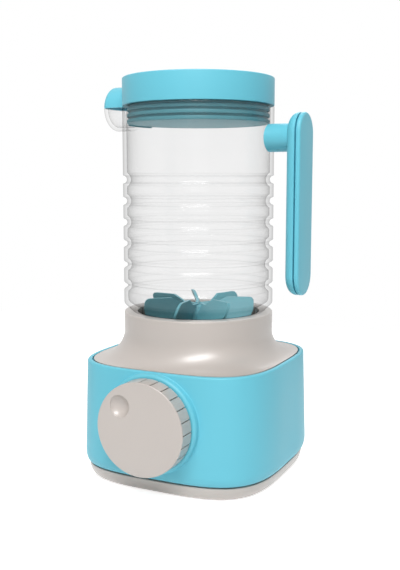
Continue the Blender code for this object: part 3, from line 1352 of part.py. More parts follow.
def make_blades(jar_frame):
    blade_axis = axis_empty("blade_axis", (0, 0, JAR_FLOOR_TOP), jar_frame)
    hub_bottom = JAR_BOSS_TOP + GAP
    hub_top = hub_bottom + HUB_HEIGHT
    bottom = JAR_FLOOR_TOP + BLADE_FLOOR_GAP
    middle = bottom + BLADE_HEIGHT / 2
    half_height = BLADE_HEIGHT / 2 / math.cos(BLADE_TILT)
    rotor = cylinder("blade_rotor", HUB_RADIUS, hub_bottom, hub_top)
    outline = blade_outline(-half_height, half_height)
    for index in range(BLADE_COUNT):
        blade = extruded("blade", outline, -BLADE_THICKNESS / 2, BLADE_THICKNESS / 2)
        stand = Matrix.Rotation(math.pi / 2, 4, "X")
        tilt = Matrix.Rotation(-BLADE_TILT, 4, "X")
        turn = Matrix.Rotation(FIRST_BLADE_ANGLE + math.tau * index / BLADE_COUNT, 4, "Z")
        blade.matrix_world = Matrix.Translation((0, 0, middle)) @ turn @ tilt @ stand
        join(rotor, blade)
    bore_top = hub_bottom + BLADE_SPINDLE_BITE
    bore_radius = BLADE_SPINDLE_RADIUS + GAP
    cut(rotor, cylinder("rotor_bore", bore_radius, hub_bottom - CUT_OVERRUN, bore_top))
    keep(rotor, TEAL, blade_axis)
    cup_bottom = WELL_FLOOR + COUPLING_LIFT
    socket_top = cup_bottom + COUPLING_ENGAGEMENT + GAP
    cup_top = socket_top + COUPLING_ROOF
    hex_radius = COUPLING_HEX_RADIUS + RUNNING_GAP / math.cos(math.pi / 6)
    cup_radius = hex_radius + COUPLING_CUP_WALL
    cup = cylinder("blade_coupling", cup_radius, cup_bottom, cup_top, sides=MIDDLE_SIDES)
    cut(cup, cylinder("cup_hex", hex_radius, cup_bottom - CUT_OVERRUN, socket_top, sides=6))
    cut(cup, cylinder("cup_bore", bore_radius, cup_bottom, cup_top + CUT_OVERRUN))
    keep(cup, WHITE, blade_axis)
    keep(cylinder("blade_spindle", BLADE_SPINDLE_RADIUS, socket_top, bore_top - GAP), STEEL, blade_axis)


def make_lid(jar_frame):
    lid_frame = axis_empty("lid_frame", (0, 0, LID_BOTTOM), jar_frame)
    top = LID_BOTTOM + LID_HEIGHT
    inner = JAR_RADIUS - LID_WALL
    profile = [(0, top)]
    profile += quarter_round(
        JAR_RADIUS - LID_EDGE_ROUNDING, top, JAR_RADIUS, top - LID_EDGE_ROUNDING, FINE_CORNER_STEPS
    )
    profile += [(JAR_RADIUS, LID_BOTTOM), (inner, LID_BOTTOM), (inner, LID_CEILING), (0, LID_CEILING)]
    cap = turned("lid_cap", profile)
    beak = spout_solid("lid_beak", SPOUT_RADIUS, SPOUT_REACH, SPOUT_DOME, LID_WALL / 2)
    cut(beak, half_space("below_lid", JAR_RIM - SPOUT_RADIUS - CUT_OVERRUN, LID_BOTTOM))
    hollow = spout_solid(
        "beak_hollow",
        SPOUT_RADIUS - SPOUT_WALL,
        SPOUT_REACH - SPOUT_WALL,
        SPOUT_DOME - SPOUT_WALL / 2,
        -GAP,
    )
    join(cap, beak)
    cut(cap, hollow)
    keep(cap, BLUE, lid_frame)
    shoulder = inner - GAP
    plug_bottom = LID_BOTTOM - PLUG_DEPTH
    plug_radius = JAR_BORE - SEAL_GAP - SEAL_LIP - SEAL_WALL - GAP
    plug_top = LID_CEILING - GAP
    plug = turned(
        "lid_plug",
        [
            (shoulder - PLUG_WALL, plug_top),
            (shoulder, plug_top),
            (shoulder, LID_BOTTOM),
            (plug_radius, LID_BOTTOM),
            (plug_radius, plug_bottom),
            (0, plug_bottom),
            (0, plug_bottom + PLUG_FLOOR),
            (plug_radius - PLUG_WALL, plug_bottom + PLUG_FLOOR),
            (plug_radius - PLUG_WALL, LID_BOTTOM + PLUG_WALL),
            (shoulder - PLUG_WALL, LID_BOTTOM + PLUG_WALL),
        ],
        closed=True,
    )
    keep(plug, TEAL, lid_frame)
    make_seal(lid_frame, plug_radius + GAP, plug_bottom)


def make_seal(lid_frame, inner, bottom):
    """The sleeve of the plug, with a groove above each lip. It shuts the spout with a plain land and a tongue below."""
    outer = inner + SEAL_WALL
    lip = outer + SEAL_LIP
    top = LID_BOTTOM - GAP
    tongue = JAR_RIM - SPOUT_RADIUS + SPOUT_WALL + SEAL_TONGUE_GAP
    seal = turned("lid_seal", [(inner, top), (lip, top), (lip, tongue), (inner, tongue)], closed=True)
    foot_low = tongue - GAP - CUT_OVERRUN
    foot = turned("seal_foot", [(0, bottom), (JAR_RADIUS, bottom), (JAR_RADIUS, tongue - GAP), (0, tongue - GAP)])
    cut(foot, box("spout_tongue", (-JAR_RADIUS, -SPOUT_RADIUS, foot_low), (0, SPOUT_RADIUS, LID_BOTTOM)))
    cut(seal, foot)
    for index in range(SEAL_LIPS):
        lip_top = bottom + SEAL_LIP_PITCH * index + SEAL_LIP_HEIGHT
        next_lip = bottom + SEAL_LIP_PITCH * (index + 1)
        outline = [(outer, next_lip), (JAR_RADIUS, next_lip), (JAR_RADIUS, lip_top), (outer, lip_top)]
        groove = turned("seal_groove", outline, closed=True)
        cut(groove, box("spout_land", (-JAR_RADIUS, -SPOUT_RADIUS, bottom), (0, SPOUT_RADIUS, LID_BOTTOM)))
        cut(seal, groove)
    keep(seal, TEAL, lid_frame)


def stadium(width, length, inset):
    """An upright outline with half-round ends, drawn in by the inset, as (across, height)."""
    radius = width / 2 - inset
    straight = (length - width) / 2
    points = []
    for end in (1, -1):
        for index in range(STADIUM_STEPS + 1):
            turn = math.pi * index / STADIUM_STEPS
            points.append((end * radius * math.cos(turn), end * (straight + radius * math.sin(turn))))
    return points


def handle_plate(name, start, end, inset=0):
    plate = extruded(name, stadium(HANDLE_WIDTH, HANDLE_LENGTH, inset), start, end)
    turn = Matrix.Rotation(math.pi / 2, 4, "Z") @ Matrix.Rotation(math.pi / 2, 4, "X")
    plate.data.transform(Matrix.Translation((0, 0, HANDLE_MIDDLE)) @ turn)
    return plate


def handle_shell(name):
    """The half on the jar's side, whose edge is rounded from its face out to the seam."""
    built = bmesh.new()
    rows = []
    levels = []
    for index in range(CORNER_STEPS + 1):
        turn = math.pi / 2 * index / CORNER_STEPS
        depth = HANDLE_INNER_FACE + HANDLE_INNER_ROUNDING * (1 - math.cos(turn))
        levels.append((HANDLE_INNER_INSET * (1 - math.sin(turn)), depth))
    levels.append((0, HANDLE_INNER_BACK))
    for inset, depth in levels:
        outline = stadium(HANDLE_WIDTH, HANDLE_LENGTH, inset)
        rows.append([built.verts.new((depth, across, HANDLE_MIDDLE + height)) for across, height in outline])
    built.faces.new(rows[0])
    built.faces.new(rows[-1])
    count = len(rows[0])
    for first, second in zip(rows, rows[1:]):
        for index in range(count):
            following = (index + 1) % count
            built.faces.new((first[index], first[following], second[following], second[index]))
    return mesh_object(name, built)


def rounded(obj, width):
    bevel = obj.modifiers.new("rounding", "BEVEL")
    bevel.width = width
    bevel.segments = FINE_CORNER_STEPS
    bevel.limit_method = "ANGLE"
    bevel.angle_limit = SMOOTH_ANGLE
    return obj


def make_handle(jar_frame):
    inner = handle_shell("handle_inner")
    step = handle_plate(
        "handle_step",
        HANDLE_INNER_BACK - HANDLE_STEP_HEIGHT,
        HANDLE_INNER_BACK + HANDLE_STEP_HEIGHT,
        HANDLE_STEP_INSET,
    )
    axis_place = (0, HANDLE_BOSS_AXIS)
    boss_start = JAR_RADIUS - HANDLE_BOSS_RADIUS
    boss_end = HANDLE_INNER_FACE + HANDLE_INNER_THICKNESS / 2
    boss = cylinder_along(
        "handle_boss", HANDLE_BOSS_RADIUS, "X", boss_start, boss_end, axis_place, MIDDLE_SIDES
    )
    boss_bore = cylinder_along(
        "boss_bore",
        HANDLE_BOSS_RADIUS - HANDLE_BOSS_WALL,
        "X",
        boss_start - CUT_OVERRUN,
        HANDLE_INNER_FACE,
        axis_place,
    )
    jar_clearance = cylinder(
        "jar_clearance",
        JAR_RADIUS + GAP,
        HANDLE_BOSS_AXIS - 2 * HANDLE_BOSS_RADIUS,
        HANDLE_BOSS_AXIS + 2 * HANDLE_BOSS_RADIUS,
        sides=ROUND_SIDES,
    )
    hole = cylinder_along(
        "handle_screw_hole",
        HANDLE_SCREW_RADIUS + GAP,
        "X",
        HANDLE_INNER_FACE - CUT_OVERRUN,
        HANDLE_OUTER_FACE + CUT_OVERRUN,
        axis_place,
    )
    head_seat = HANDLE_INNER_BACK + HANDLE_STEP_HEIGHT - HANDLE_SCREW_HEAD_HEIGHT - GAP
    sink = cylinder_along(
        "handle_screw_sink",
        HANDLE_SCREW_HEAD_RADIUS + GAP,
        "X",
        head_seat,
        HANDLE_OUTER_FACE + CUT_OVERRUN,
        axis_place,
    )
    stud_end = HANDLE_INNER_FACE - GAP
    stud = cylinder_along(
        "handle_stud", HANDLE_STUD_RADIUS, "X", boss_start, stud_end, axis_place, MIDDLE_SIDES
    )
    pilot = cylinder_along(
        "stud_pilot",
        HANDLE_SCREW_RADIUS + GAP,
        "X",
        stud_end - HANDLE_SCREW_BITE - GAP,
        stud_end + CUT_OVERRUN,
        axis_place,
    )
    cut(stud, jar_clearance, pilot)
    keep(stud, CLEAR, jar_frame)
    join(inner, step, boss)
    cut(inner, boss_bore, jar_clearance, hole, sink)
    outer_end = HANDLE_OUTER_FACE + HANDLE_OUTER_THICKNESS
    outer = handle_plate("handle_outer", HANDLE_OUTER_FACE, outer_end)
    rounded(outer, HANDLE_EDGE_ROUNDING)
    upper_peg = HANDLE_BOSS_AXIS - HANDLE_BOSS_RADIUS - HANDLE_PEG_RADIUS - HANDLE_PEG_BELOW_BOSS
    lower_peg = HANDLE_TOP - HANDLE_LENGTH + HANDLE_WIDTH / 2
    for peg_height in (upper_peg, lower_peg):
        place = (0, peg_height)
        peg_end = HANDLE_OUTER_FACE - HANDLE_PEG_LENGTH
        peg_root = HANDLE_OUTER_FACE + HANDLE_OUTER_THICKNESS / 2
        hole_mouth = HANDLE_OUTER_FACE + CUT_OVERRUN
        peg = cylinder_along("handle_peg", HANDLE_PEG_RADIUS, "X", peg_end, peg_root, place)
        peg_hole = cylinder_along(
            "handle_peg_hole", HANDLE_PEG_RADIUS + GAP, "X", peg_end - GAP, hole_mouth, place
        )
        join(outer, peg)
        cut(inner, peg_hole)
    keep(inner, BLUE, jar_frame)
    keep(outer, BLUE, jar_frame)
    reach = head_seat + GAP / 2 - (HANDLE_INNER_FACE - GAP) + HANDLE_SCREW_BITE
    profile = [
        (0, HANDLE_SCREW_HEAD_HEIGHT),
        (HANDLE_SCREW_HEAD_RADIUS, HANDLE_SCREW_HEAD_HEIGHT),
        (HANDLE_SCREW_HEAD_RADIUS, 0),
        (HANDLE_SCREW_RADIUS, 0),
        (HANDLE_SCREW_RADIUS, -reach),
        (0, -reach),
    ]
    handle_screw = turned("handle_screw", profile, SMALL_SIDES)
    lie_along(handle_screw, (1, 0, 0), (head_seat + GAP / 2, 0, HANDLE_BOSS_AXIS))
    keep(handle_screw, STEEL, jar_frame)


def main():
    make_base_shell()
    make_base_cover()
    make_base_tray()
    make_feet_and_case_screws()
    make_battery_bay()
    make_dial()
    make_switch()
    make_gear_frame()
    make_drive()
    make_motor()
    make_leads()
    jar_frame = axis_empty("jar_frame", (0, 0, JAR_FOOT))
    make_jar(jar_frame)
    make_blades(jar_frame)
    make_lid(jar_frame)
    make_handle(jar_frame)


main()
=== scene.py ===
"""Looks of the toy blender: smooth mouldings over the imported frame, their finishes, light and camera.

Metres, +Z up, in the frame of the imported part. The dial faces -Y, the handle is at +X and the spout at -X.
"""

import json
import math

import bmesh
import bpy
from mathutils import Matrix, Vector


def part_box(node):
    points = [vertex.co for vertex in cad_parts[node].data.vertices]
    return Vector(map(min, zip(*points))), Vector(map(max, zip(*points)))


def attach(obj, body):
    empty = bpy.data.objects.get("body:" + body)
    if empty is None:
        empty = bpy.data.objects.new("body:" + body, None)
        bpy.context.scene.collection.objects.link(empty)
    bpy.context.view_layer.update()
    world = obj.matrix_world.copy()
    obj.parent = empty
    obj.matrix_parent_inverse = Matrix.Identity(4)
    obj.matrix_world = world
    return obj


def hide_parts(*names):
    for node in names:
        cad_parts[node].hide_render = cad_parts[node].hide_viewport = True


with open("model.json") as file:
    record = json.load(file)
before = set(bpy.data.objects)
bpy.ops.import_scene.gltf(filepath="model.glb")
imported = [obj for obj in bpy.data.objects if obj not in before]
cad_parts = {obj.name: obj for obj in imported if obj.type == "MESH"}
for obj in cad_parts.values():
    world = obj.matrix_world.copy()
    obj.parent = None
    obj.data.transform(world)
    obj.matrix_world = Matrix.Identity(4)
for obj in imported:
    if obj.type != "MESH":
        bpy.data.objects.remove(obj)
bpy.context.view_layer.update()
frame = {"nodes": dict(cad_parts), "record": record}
COLLECTION = bpy.context.scene.collection

# Facets and small allowances
ROUND_SIDES = 144
SPOUT_SIDES = 72
HUB_SIDES = 64
BASE_SIDES = 192
END_SIDES = 32
ARC_STEPS = 5
CURVE_STEPS = 12
JAR_ARC_STEPS = 3
SMOOTH_ANGLE = 38
SKIN = 0.00005
OVERRUN = 0.002
SMALL_EDGE = 0.0003

# Sizes read from the frame
SHELL_LOW, SHELL_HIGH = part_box("base_shell")
COVER_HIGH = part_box("base_cover")[1]
TRAY_LOW, TRAY_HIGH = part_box("base_tray")
DIAL_LOW, DIAL_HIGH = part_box("dial")
JAR_LOW, JAR_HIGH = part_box("jar")
CAP_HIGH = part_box("lid_cap")[1]
PLUG_LOW, PLUG_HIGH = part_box("lid_plug")
SEAL_LOW, SEAL_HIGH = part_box("lid_seal")
ROTOR_LOW, ROTOR_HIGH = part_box("blade_rotor")
INNER_LOW, INNER_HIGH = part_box("handle_inner")
OUTER_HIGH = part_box("handle_outer")[1]

# Base shell
SQUARENESS = 3.55
SHELL_HALF = 0.0645
SHELL_TAPER = 0.0018
SHELL_WALL = 0.0025
SHELL_LIP_WIDTH = 0.0025
SHELL_LIP_DEPTH = 0.0025
SHELL_LEDGE = 0.0018
SHELL_LEDGE_THICKNESS = 0.0020
SHELL_EDGE = 0.0012
SHELL_LIP_EDGE = 0.0004
SHELL_CURVE = 0.0065
SHELL_CURVE_INSET = 0.0021
SHELL_BOTTOM_WALL = 0.0018
SHELL_LOWER_EDGE = 0.0003
RIM = SHELL_HIGH.z
SHELL_BOTTOM = SHELL_LOW.z
SHELL_OPENING = SHELL_HALF - SHELL_CURVE_INSET - SHELL_BOTTOM_WALL

# Dial boss on the shell's front
DIAL_RADIUS = DIAL_HIGH.x
DIAL_HEIGHT = (DIAL_LOW.z + DIAL_HIGH.z) / 2
DIAL_BACK = DIAL_HIGH.y
DIAL_FRONT = DIAL_LOW.y
BOSS_RADIUS = 0.0304
BOSS_EDGE = 0.0022
BOSS_FACE = SHELL_LOW.y
BOSS_FILLET = 0.0006

# Base cover
COVER_GAP = 0.0003
COVER_EDGE = SHELL_HALF - SHELL_TAPER - SHELL_LIP_WIDTH - COVER_GAP
SHOW_GAP = 0.0006
COVER_WALL = 0.0025
COVER_CHAMFER = 0.0004
SKIRT_WALL = 0.0018
COLLAR_TOP = COVER_HIGH.z
COLLAR_RADIUS = 0.0480
COLLAR_STRAIGHT = 0.0113
COLLAR_OUTER_EDGE = 0.0008
COLLAR_INNER_EDGE = 0.0006
WELL_RADIUS = 0.0394
WELL_FLOOR = COLLAR_TOP - 0.0214
WELL_HOLE = 0.0085
WELL_CORNER = 0.0010
WELL_WALL = 0.0022
FLARE_STEPS = 24

# Base tray
TRAY_INSET_TOP = 0.0001
TRAY_INSET_FLOOR = 0.0056
TRAY_SIDE = 0.0085
TRAY_LIP_INSET = 0.0018
TRAY_FLOOR = 0.0025
TRAY_WALL = 0.0025
TRAY_LIP_WALL = 0.0020
TRAY_LIP_TOP = TRAY_HIGH.z / 3
TRAY_FLOOR_EDGE = 0.0006
TRAY_EDGE = 0.0003
FIT = 0.0003

# Dial
DIAL_GROOVES = 24
DIAL_GROOVE_WIDTH = 0.0007
DIAL_GROOVE_DEPTH = 0.0013
DIAL_EDGE = 0.0007
DIAL_GROOVE_FLOOR = 0.9
DIAL_LAND_STEPS = 5
DIAL_FACE_RINGS = 6
DIAL_SHARP_ANGLE = 30
DIMPLE_DISTANCE = 0.0182
DIMPLE_ANGLE = math.radians(135)
DIMPLE_RADIUS = 0.0067
DIMPLE_DEPTH = 0.0036
DIMPLE_EDGE = 0.0006
DIMPLE_SWEEP = 0.94
DIMPLE_BOWL = DIMPLE_RADIUS * 0.945

# Jar
JAR_RADIUS = JAR_HIGH.y
JAR_RIM = JAR_HIGH.z
JAR_WALL = 0.0025
JAR_FOOT_RADIUS = 0.0390
JAR_FOOT_WALL = 0.0020
JAR_FOOT = JAR_LOW.z
JAR_SHOULDER = COLLAR_TOP + FIT
JAR_SHOULDER_INSET = 0.0054
JAR_BODY_BOTTOM = JAR_SHOULDER + 0.0053
JAR_FLOOR_UNDERSIDE = JAR_FOOT + 0.0075
JAR_FLOOR_TOP = JAR_FLOOR_UNDERSIDE + 0.0025
JAR_BOSS_TOP = JAR_FLOOR_TOP + 0.0015
JAR_BOSS_ROOF = 0.0012
JAR_BOSS_RADIUS = 0.0067
BUSH_SOCKET = 0.0045
SPINDLE_HOLE = 0.0019
BEADS = 6
BEAD_PITCH = 0.0135
FIRST_BEAD = JAR_RIM - 0.0457
BEAD_RADIUS = 0.0025
BEAD_EDGE = 0.0006
BEAD_STEPS = 8
JAR_RIM_EDGE = 0.0006
JAR_BODY_CORNER = 0.0020
JAR_BODY_CORNER_INSIDE = 0.0025
JAR_EDGE = 0.0005
JAR_FLOOR_CORNER = 0.0015

# Spout
SPOUT_RADIUS = 0.0142
SPOUT_REACH = -JAR_LOW.x - JAR_RADIUS
SPOUT_DOME = 0.0060
SPOUT_WALL = 0.0022

# Blades
BLADE_COUNT = 7
BLADE_REACH = 0.0360
BLADE_THICKNESS = 0.0016
BLADE_TILT = math.radians(24)
BLADE_BEND = 0.0016
FIRST_BLADE = math.radians(-87.8)
BLADE_TOP = ROTOR_HIGH.z
BLADE_HEIGHT = 0.0150
SHOULDER_REACH = 0.0183
SHOULDER_INNER = 0.0110
SHOULDER_DROP = 0.0043
BLADE_CORNER = 0.0032
BLADE_HEEL = 0.0026
BLADE_ROOT = 0.4
BLADE_INNER_REACHES = (0.0070, 0.0095, SHOULDER_INNER, 0.0130, 0.0160, SHOULDER_REACH)
BLADE_OUTER_REACHES = (0.0210, 0.0250, 0.0290, 0.0320)
BLADE_CORNER_STEPS = 6
BLADE_ROWS = 6
BLADE_EDGE = 0.0003
BLADE_SHARP_ANGLE = math.radians(50)
HUB_RADIUS = 0.0052
HUB_HEIGHT = 0.0130
HUB_EDGE = 0.0012

# Lid
LID_TOP_EDGE = 0.0008
LID_WALL = 0.0028
LID_TOP = 0.0025
LID_INNER_CORNER = 0.0005
PLUG_CUP = 0.0020
PLUG_CORNER = 0.0008
PLUG_SKIN = 0.0012
PLUG_INSIDE = 0.0030
PLUG_FLANGE = 0.0018
SEAL_RINGS = 3
SEAL_RING_HEIGHT = 0.0023
SEAL_RING_PITCH = 0.0037
SEAL_RING_DEPTH = 0.0016
SEAL_RING_EDGE = 0.0006
SEAL_RING_CORNER = 0.0002
SEAL_INSIDE = 0.0009
SEAL_TOP_GAP = 0.0001
LAND_STEPS = 8

# Handle
HANDLE_EDGE = 0.0008
HANDLE_OUTER_EDGE = 0.0013
HANDLE_STEP_HEIGHT = 0.0006
HANDLE_STEP_INSET = 0.0026
HANDLE_INNER_THICKNESS = 0.0060
HANDLE_INNER_ROUNDING = 0.0052
HANDLE_INNER_INSET = 0.0055
HANDLE_BOSS_RADIUS = 0.0085
HANDLE_BOSS_WALL = 0.0022
HANDLE_BOSS_DROP = 0.01485
HANDLE_FLARE = 0.0003
HANDLE_FLARE_START = 0.0004
HANDLE_SINK = 0.0005
HANDLE_SEAM = 0.0002
HANDLE_OUTER_THICKNESS = 0.0027

# Camera, light and floor: each lamp has its place, its size and its watts
CAMERA_PLACE = (0.22896, -0.47390, 0.18859)
CAMERA_TURN = (math.radians(82.528), 0, math.radians(25.674))
CAMERA_LENS = 51.55
CAMERA_SENSOR = 36
CAMERA_NEAR = 0.01
LAMPS = {
    "key": ((0.26, -0.77, 1.13), (0.78, 0.50), 13.5),
    "front": ((0.45, -1.00, 0.42), (0.6, 0.6), 0.6),
    "back": ((-0.30, 1.00, 0.95), (0.5, 0.5), 2.0),
}
LAMP_AIM = (0, 0, 0.10)
AMBIENT = 0.30
FLOOR_SIZE = 1.04
FLOOR_PALE = 0.92
FLOOR_LIFT = 0.70

# Finishes
DRIFT_SCALE = 28
DRIFT_RANGE = (0.3, 0.7)
GLOSS_DRIFT = 0.03
GRAIN_SCALE = 1400
GRAIN_STRENGTH = 0.35
COAT_ROUGHNESS = 0.24
CLEAR_FACE_ON = 0.968
CLEAR_EDGE_ON = 0.68
CLEAR_POWER = 3
CLEAR_SHINE = 0.018
CLEAR_SHINE_COLOR = 0.9
CLEAR_ROUGHNESS = 0.12
METAL_SCALE = 400
METAL_DRIFT = 0.1


def place_piece(piece, body, finish, slot, *nodes):
    """Puts a finished piece on its body in place of the CAD nodes that it stands for."""
    if piece.name not in COLLECTION.objects:
        COLLECTION.objects.link(piece)
    piece.data.materials.clear()
    piece.data.materials.append(finish)
    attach(piece, body)
    if nodes:
        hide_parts(*nodes)
    return piece


def to_object(name, built, angle=SMOOTH_ANGLE):
    """An object from a bmesh, outward facing, smooth except at edges sharper than the angle in degrees."""
    bmesh.ops.recalc_face_normals(built, faces=built.faces)
    mesh = bpy.data.meshes.new(name)
    built.to_mesh(mesh)
    built.free()
    mesh.shade_smooth()
    mesh.set_sharp_from_angle(angle=math.radians(angle))
    return bpy.data.objects.new(name, mesh)


def skinned(name, rings, looped=False, angle=SMOOTH_ANGLE):
    """Skins rings of points. A ring of one point is a pole, and a looped skin closes on its first ring."""
    built = bmesh.new()
    rows = [[built.verts.new(point) for point in ring] for ring in rings]
    pairs = list(zip(rows, rows[1:]))
    if looped:
        pairs.append((rows[-1], rows[0]))
    for first, second in pairs:
        count = max(len(first), len(second))
        for index in range(count):
            corners = []
            for row, step in ((first, 0), (first, 1), (second, 1), (second, 0)):
                vert = row[(index + step) % len(row)]
                if vert not in corners:
                    corners.append(vert)
            if len(corners) > 2:
                built.faces.new(corners)
    if not looped:
        for row in (rows[0], rows[-1]):
            if len(row) > 2:
                built.faces.new(row)
    return to_object(name, built, angle)


def softened(corners, looped=True, steps=ARC_STEPS):
    """A path through (across, up, radius) corners with each corner rounded to its radius."""
    points = []
    count = len(corners)
    for index, (across, up, radius) in enumerate(corners):
        here = Vector((across, up))
        at_end = not looped and index in (0, count - 1)
        if radius == 0 or at_end:
            points.append(here)
            continue
        to_last = Vector(corners[index - 1][:2]) - here
        to_next = Vector(corners[(index + 1) % count][:2]) - here
        opening = to_last.angle(to_next)
        reach = radius / math.tan(opening / 2)
        reach = min(reach, to_last.length * 0.49, to_next.length * 0.49)
        radius = reach * math.tan(opening / 2)
        start = here + to_last.normalized() * reach
        end = here + to_next.normalized() * reach
        middle = (to_last.normalized() + to_next.normalized()).normalized()
        centre = here + middle * (radius / math.sin(opening / 2))
        sweep = (start - centre).angle_signed(end - centre)
        for step in range(steps + 1):
            turn = Matrix.Rotation(-sweep * step / steps, 2)
            points.append(centre + turn @ (start - centre))
    return points


def circle(radius, height, sides=ROUND_SIDES):
    if radius < SKIN:
        return [Vector((0, 0, height))]
    angles = [math.tau * index / sides for index in range(sides)]
    return [Vector((radius * math.cos(angle), radius * math.sin(angle), height)) for angle in angles]


def lathe(name, profile, sides=ROUND_SIDES, looped=True):
    return skinned(name, [circle(radius, height, sides) for radius, height in profile], looped)


def square_reach(half, angle):
    across = abs(math.cos(angle)) ** SQUARENESS + abs(math.sin(angle)) ** SQUARENESS
    return half / across ** (1 / SQUARENESS)


def base_ring(radius, half, share, height):
    """A ring between a circle (share 0) and the base's rounded square (share 1)."""
    ring = []
    for index in range(BASE_SIDES):
        angle = math.tau * (index + 0.5) / BASE_SIDES
        reach = (1 - share) * radius + share * square_reach(half, angle)
        ring.append(Vector((reach * math.cos(angle), reach * math.sin(angle), height)))
    return ring


def square_rings(profile):
    return [base_ring(half, half, 1, height) for half, height in profile]


def turned_to(piece, direction, place):
    """Bakes a turn of the piece's Z to a direction, and a shift to a place, into its mesh."""
    turn = Vector(direction).to_track_quat("Z", "Y").to_matrix().to_4x4()
    piece.data.transform(Matrix.Translation(place) @ turn)
    return piece


def with_boolean(piece, operation, *others):
    """Applies exact Booleans to the piece's mesh, and removes the other objects."""
    if piece.name not in COLLECTION.objects:
        COLLECTION.objects.link(piece)
    for other in others:
        COLLECTION.objects.link(other)
        modifier = piece.modifiers.new(operation, "BOOLEAN")
        modifier.operation = operation
        modifier.solver = "EXACT"
        modifier.object = other
    graph = bpy.context.evaluated_depsgraph_get()
    mesh = bpy.data.meshes.new_from_object(piece.evaluated_get(graph))
    piece.modifiers.clear()
    piece.data = mesh
    for other in others:
        bpy.data.objects.remove(other)
    piece.data.shade_smooth()
    piece.data.set_sharp_from_angle(angle=math.radians(SMOOTH_ANGLE))
    return piece


def block(name, low, high):
    built = bmesh.new()
    size = Vector(high) - Vector(low)
    middle = (Vector(high) + Vector(low)) / 2
    bmesh.ops.create_cube(built, size=1, matrix=Matrix.Translation(middle) @ Matrix.Diagonal((*size, 1)))
    return to_object(name, built)


def joined(name, pieces):
    """One object from several, with their meshes side by side."""
    built = bmesh.new()
    for piece in pieces:
        built.from_mesh(piece.data)
        bpy.data.objects.remove(piece)
    return to_object(name, built)


# Materials


def new_material(name):
    made = bpy.data.materials.new(name)
    made.use_nodes = True
    nodes = made.node_tree.nodes
    nodes.clear()
    return made, nodes, made.node_tree.links


def moulded(name, color, roughness, grain=0.00003, spread=0.04, coat=0.0, mirror=0.5):
    """Moulded plastic: slow drifts of colour and gloss, and the fine texture of the mould."""
    made, nodes, links = new_material(name)
    output = nodes.new("ShaderNodeOutputMaterial")
    shader = nodes.new("ShaderNodeBsdfPrincipled")
    links.new(shader.outputs["BSDF"], output.inputs["Surface"])
    place = nodes.new("ShaderNodeTexCoord")
    drift = nodes.new("ShaderNodeTexNoise")
    drift.inputs["Scale"].default_value = DRIFT_SCALE
    drift.inputs["Detail"].default_value = 3
    links.new(place.outputs["Object"], drift.inputs["Vector"])
    tint = nodes.new("ShaderNodeMix")
    tint.data_type = "RGBA"
    darker = [channel * (1 - spread / 2) for channel in color]
    lighter = [min(channel * (1 + spread / 2), 1) for channel in color]
    tint.inputs["A"].default_value = (*darker, 1)
    tint.inputs["B"].default_value = (*lighter, 1)
    links.new(drift.outputs["Fac"], tint.inputs["Factor"])
    links.new(tint.outputs["Result"], shader.inputs["Base Color"])
    gloss = nodes.new("ShaderNodeMapRange")
    gloss.inputs["From Min"].default_value = DRIFT_RANGE[0]
    gloss.inputs["From Max"].default_value = DRIFT_RANGE[1]
    gloss.inputs["To Min"].default_value = roughness - GLOSS_DRIFT
    gloss.inputs["To Max"].default_value = roughness + GLOSS_DRIFT
    links.new(drift.outputs["Fac"], gloss.inputs["Value"])
    links.new(gloss.outputs["Result"], shader.inputs["Roughness"])
    texture = nodes.new("ShaderNodeTexNoise")
    texture.inputs["Scale"].default_value = GRAIN_SCALE
    texture.inputs["Detail"].default_value = 2
    links.new(place.outputs["Object"], texture.inputs["Vector"])
    bump = nodes.new("ShaderNodeBump")
    bump.inputs["Strength"].default_value = GRAIN_STRENGTH
    bump.inputs["Distance"].default_value = grain
    links.new(texture.outputs["Fac"], bump.inputs["Height"])
    links.new(bump.outputs["Normal"], shader.inputs["Normal"])
    shader.inputs["Specular IOR Level"].default_value = mirror
    shader.inputs["Coat Weight"].default_value = coat
    shader.inputs["Coat Roughness"].default_value = COAT_ROUGHNESS
    return made


def clear_plastic():
    """A clear wall: each skin lets less through where it is seen edge on, and mirrors the lamps."""
    made, nodes, links = new_material("clear_plastic_fine")
    output = nodes.new("ShaderNodeOutputMaterial")
    facing = nodes.new("ShaderNodeLayerWeight")
    facing.inputs["Blend"].default_value = 0.5
    edge = nodes.new("ShaderNodeMath")
    edge.operation = "POWER"
    edge.inputs[1].default_value = CLEAR_POWER
    links.new(facing.outputs["Facing"], edge.inputs[0])
    tint = nodes.new("ShaderNodeMix")
    tint.data_type = "RGBA"
    tint.inputs["A"].default_value = (CLEAR_FACE_ON, CLEAR_FACE_ON, CLEAR_FACE_ON, 1)
    tint.inputs["B"].default_value = (CLEAR_EDGE_ON, CLEAR_EDGE_ON, CLEAR_EDGE_ON, 1)
    links.new(edge.outputs["Value"], tint.inputs["Factor"])
    through = nodes.new("ShaderNodeBsdfTransparent")
    links.new(tint.outputs["Result"], through.inputs["Color"])
    shine = nodes.new("ShaderNodeBsdfGlossy")
    shine.inputs["Roughness"].default_value = CLEAR_ROUGHNESS
    shine.inputs["Color"].default_value = (CLEAR_SHINE_COLOR, CLEAR_SHINE_COLOR, CLEAR_SHINE_COLOR, 1)
    mix = nodes.new("ShaderNodeMixShader")
    mix.inputs["Fac"].default_value = CLEAR_SHINE
    links.new(through.outputs["BSDF"], mix.inputs[1])
    links.new(shine.outputs["BSDF"], mix.inputs[2])
    links.new(mix.outputs["Shader"], output.inputs["Surface"])
    return made


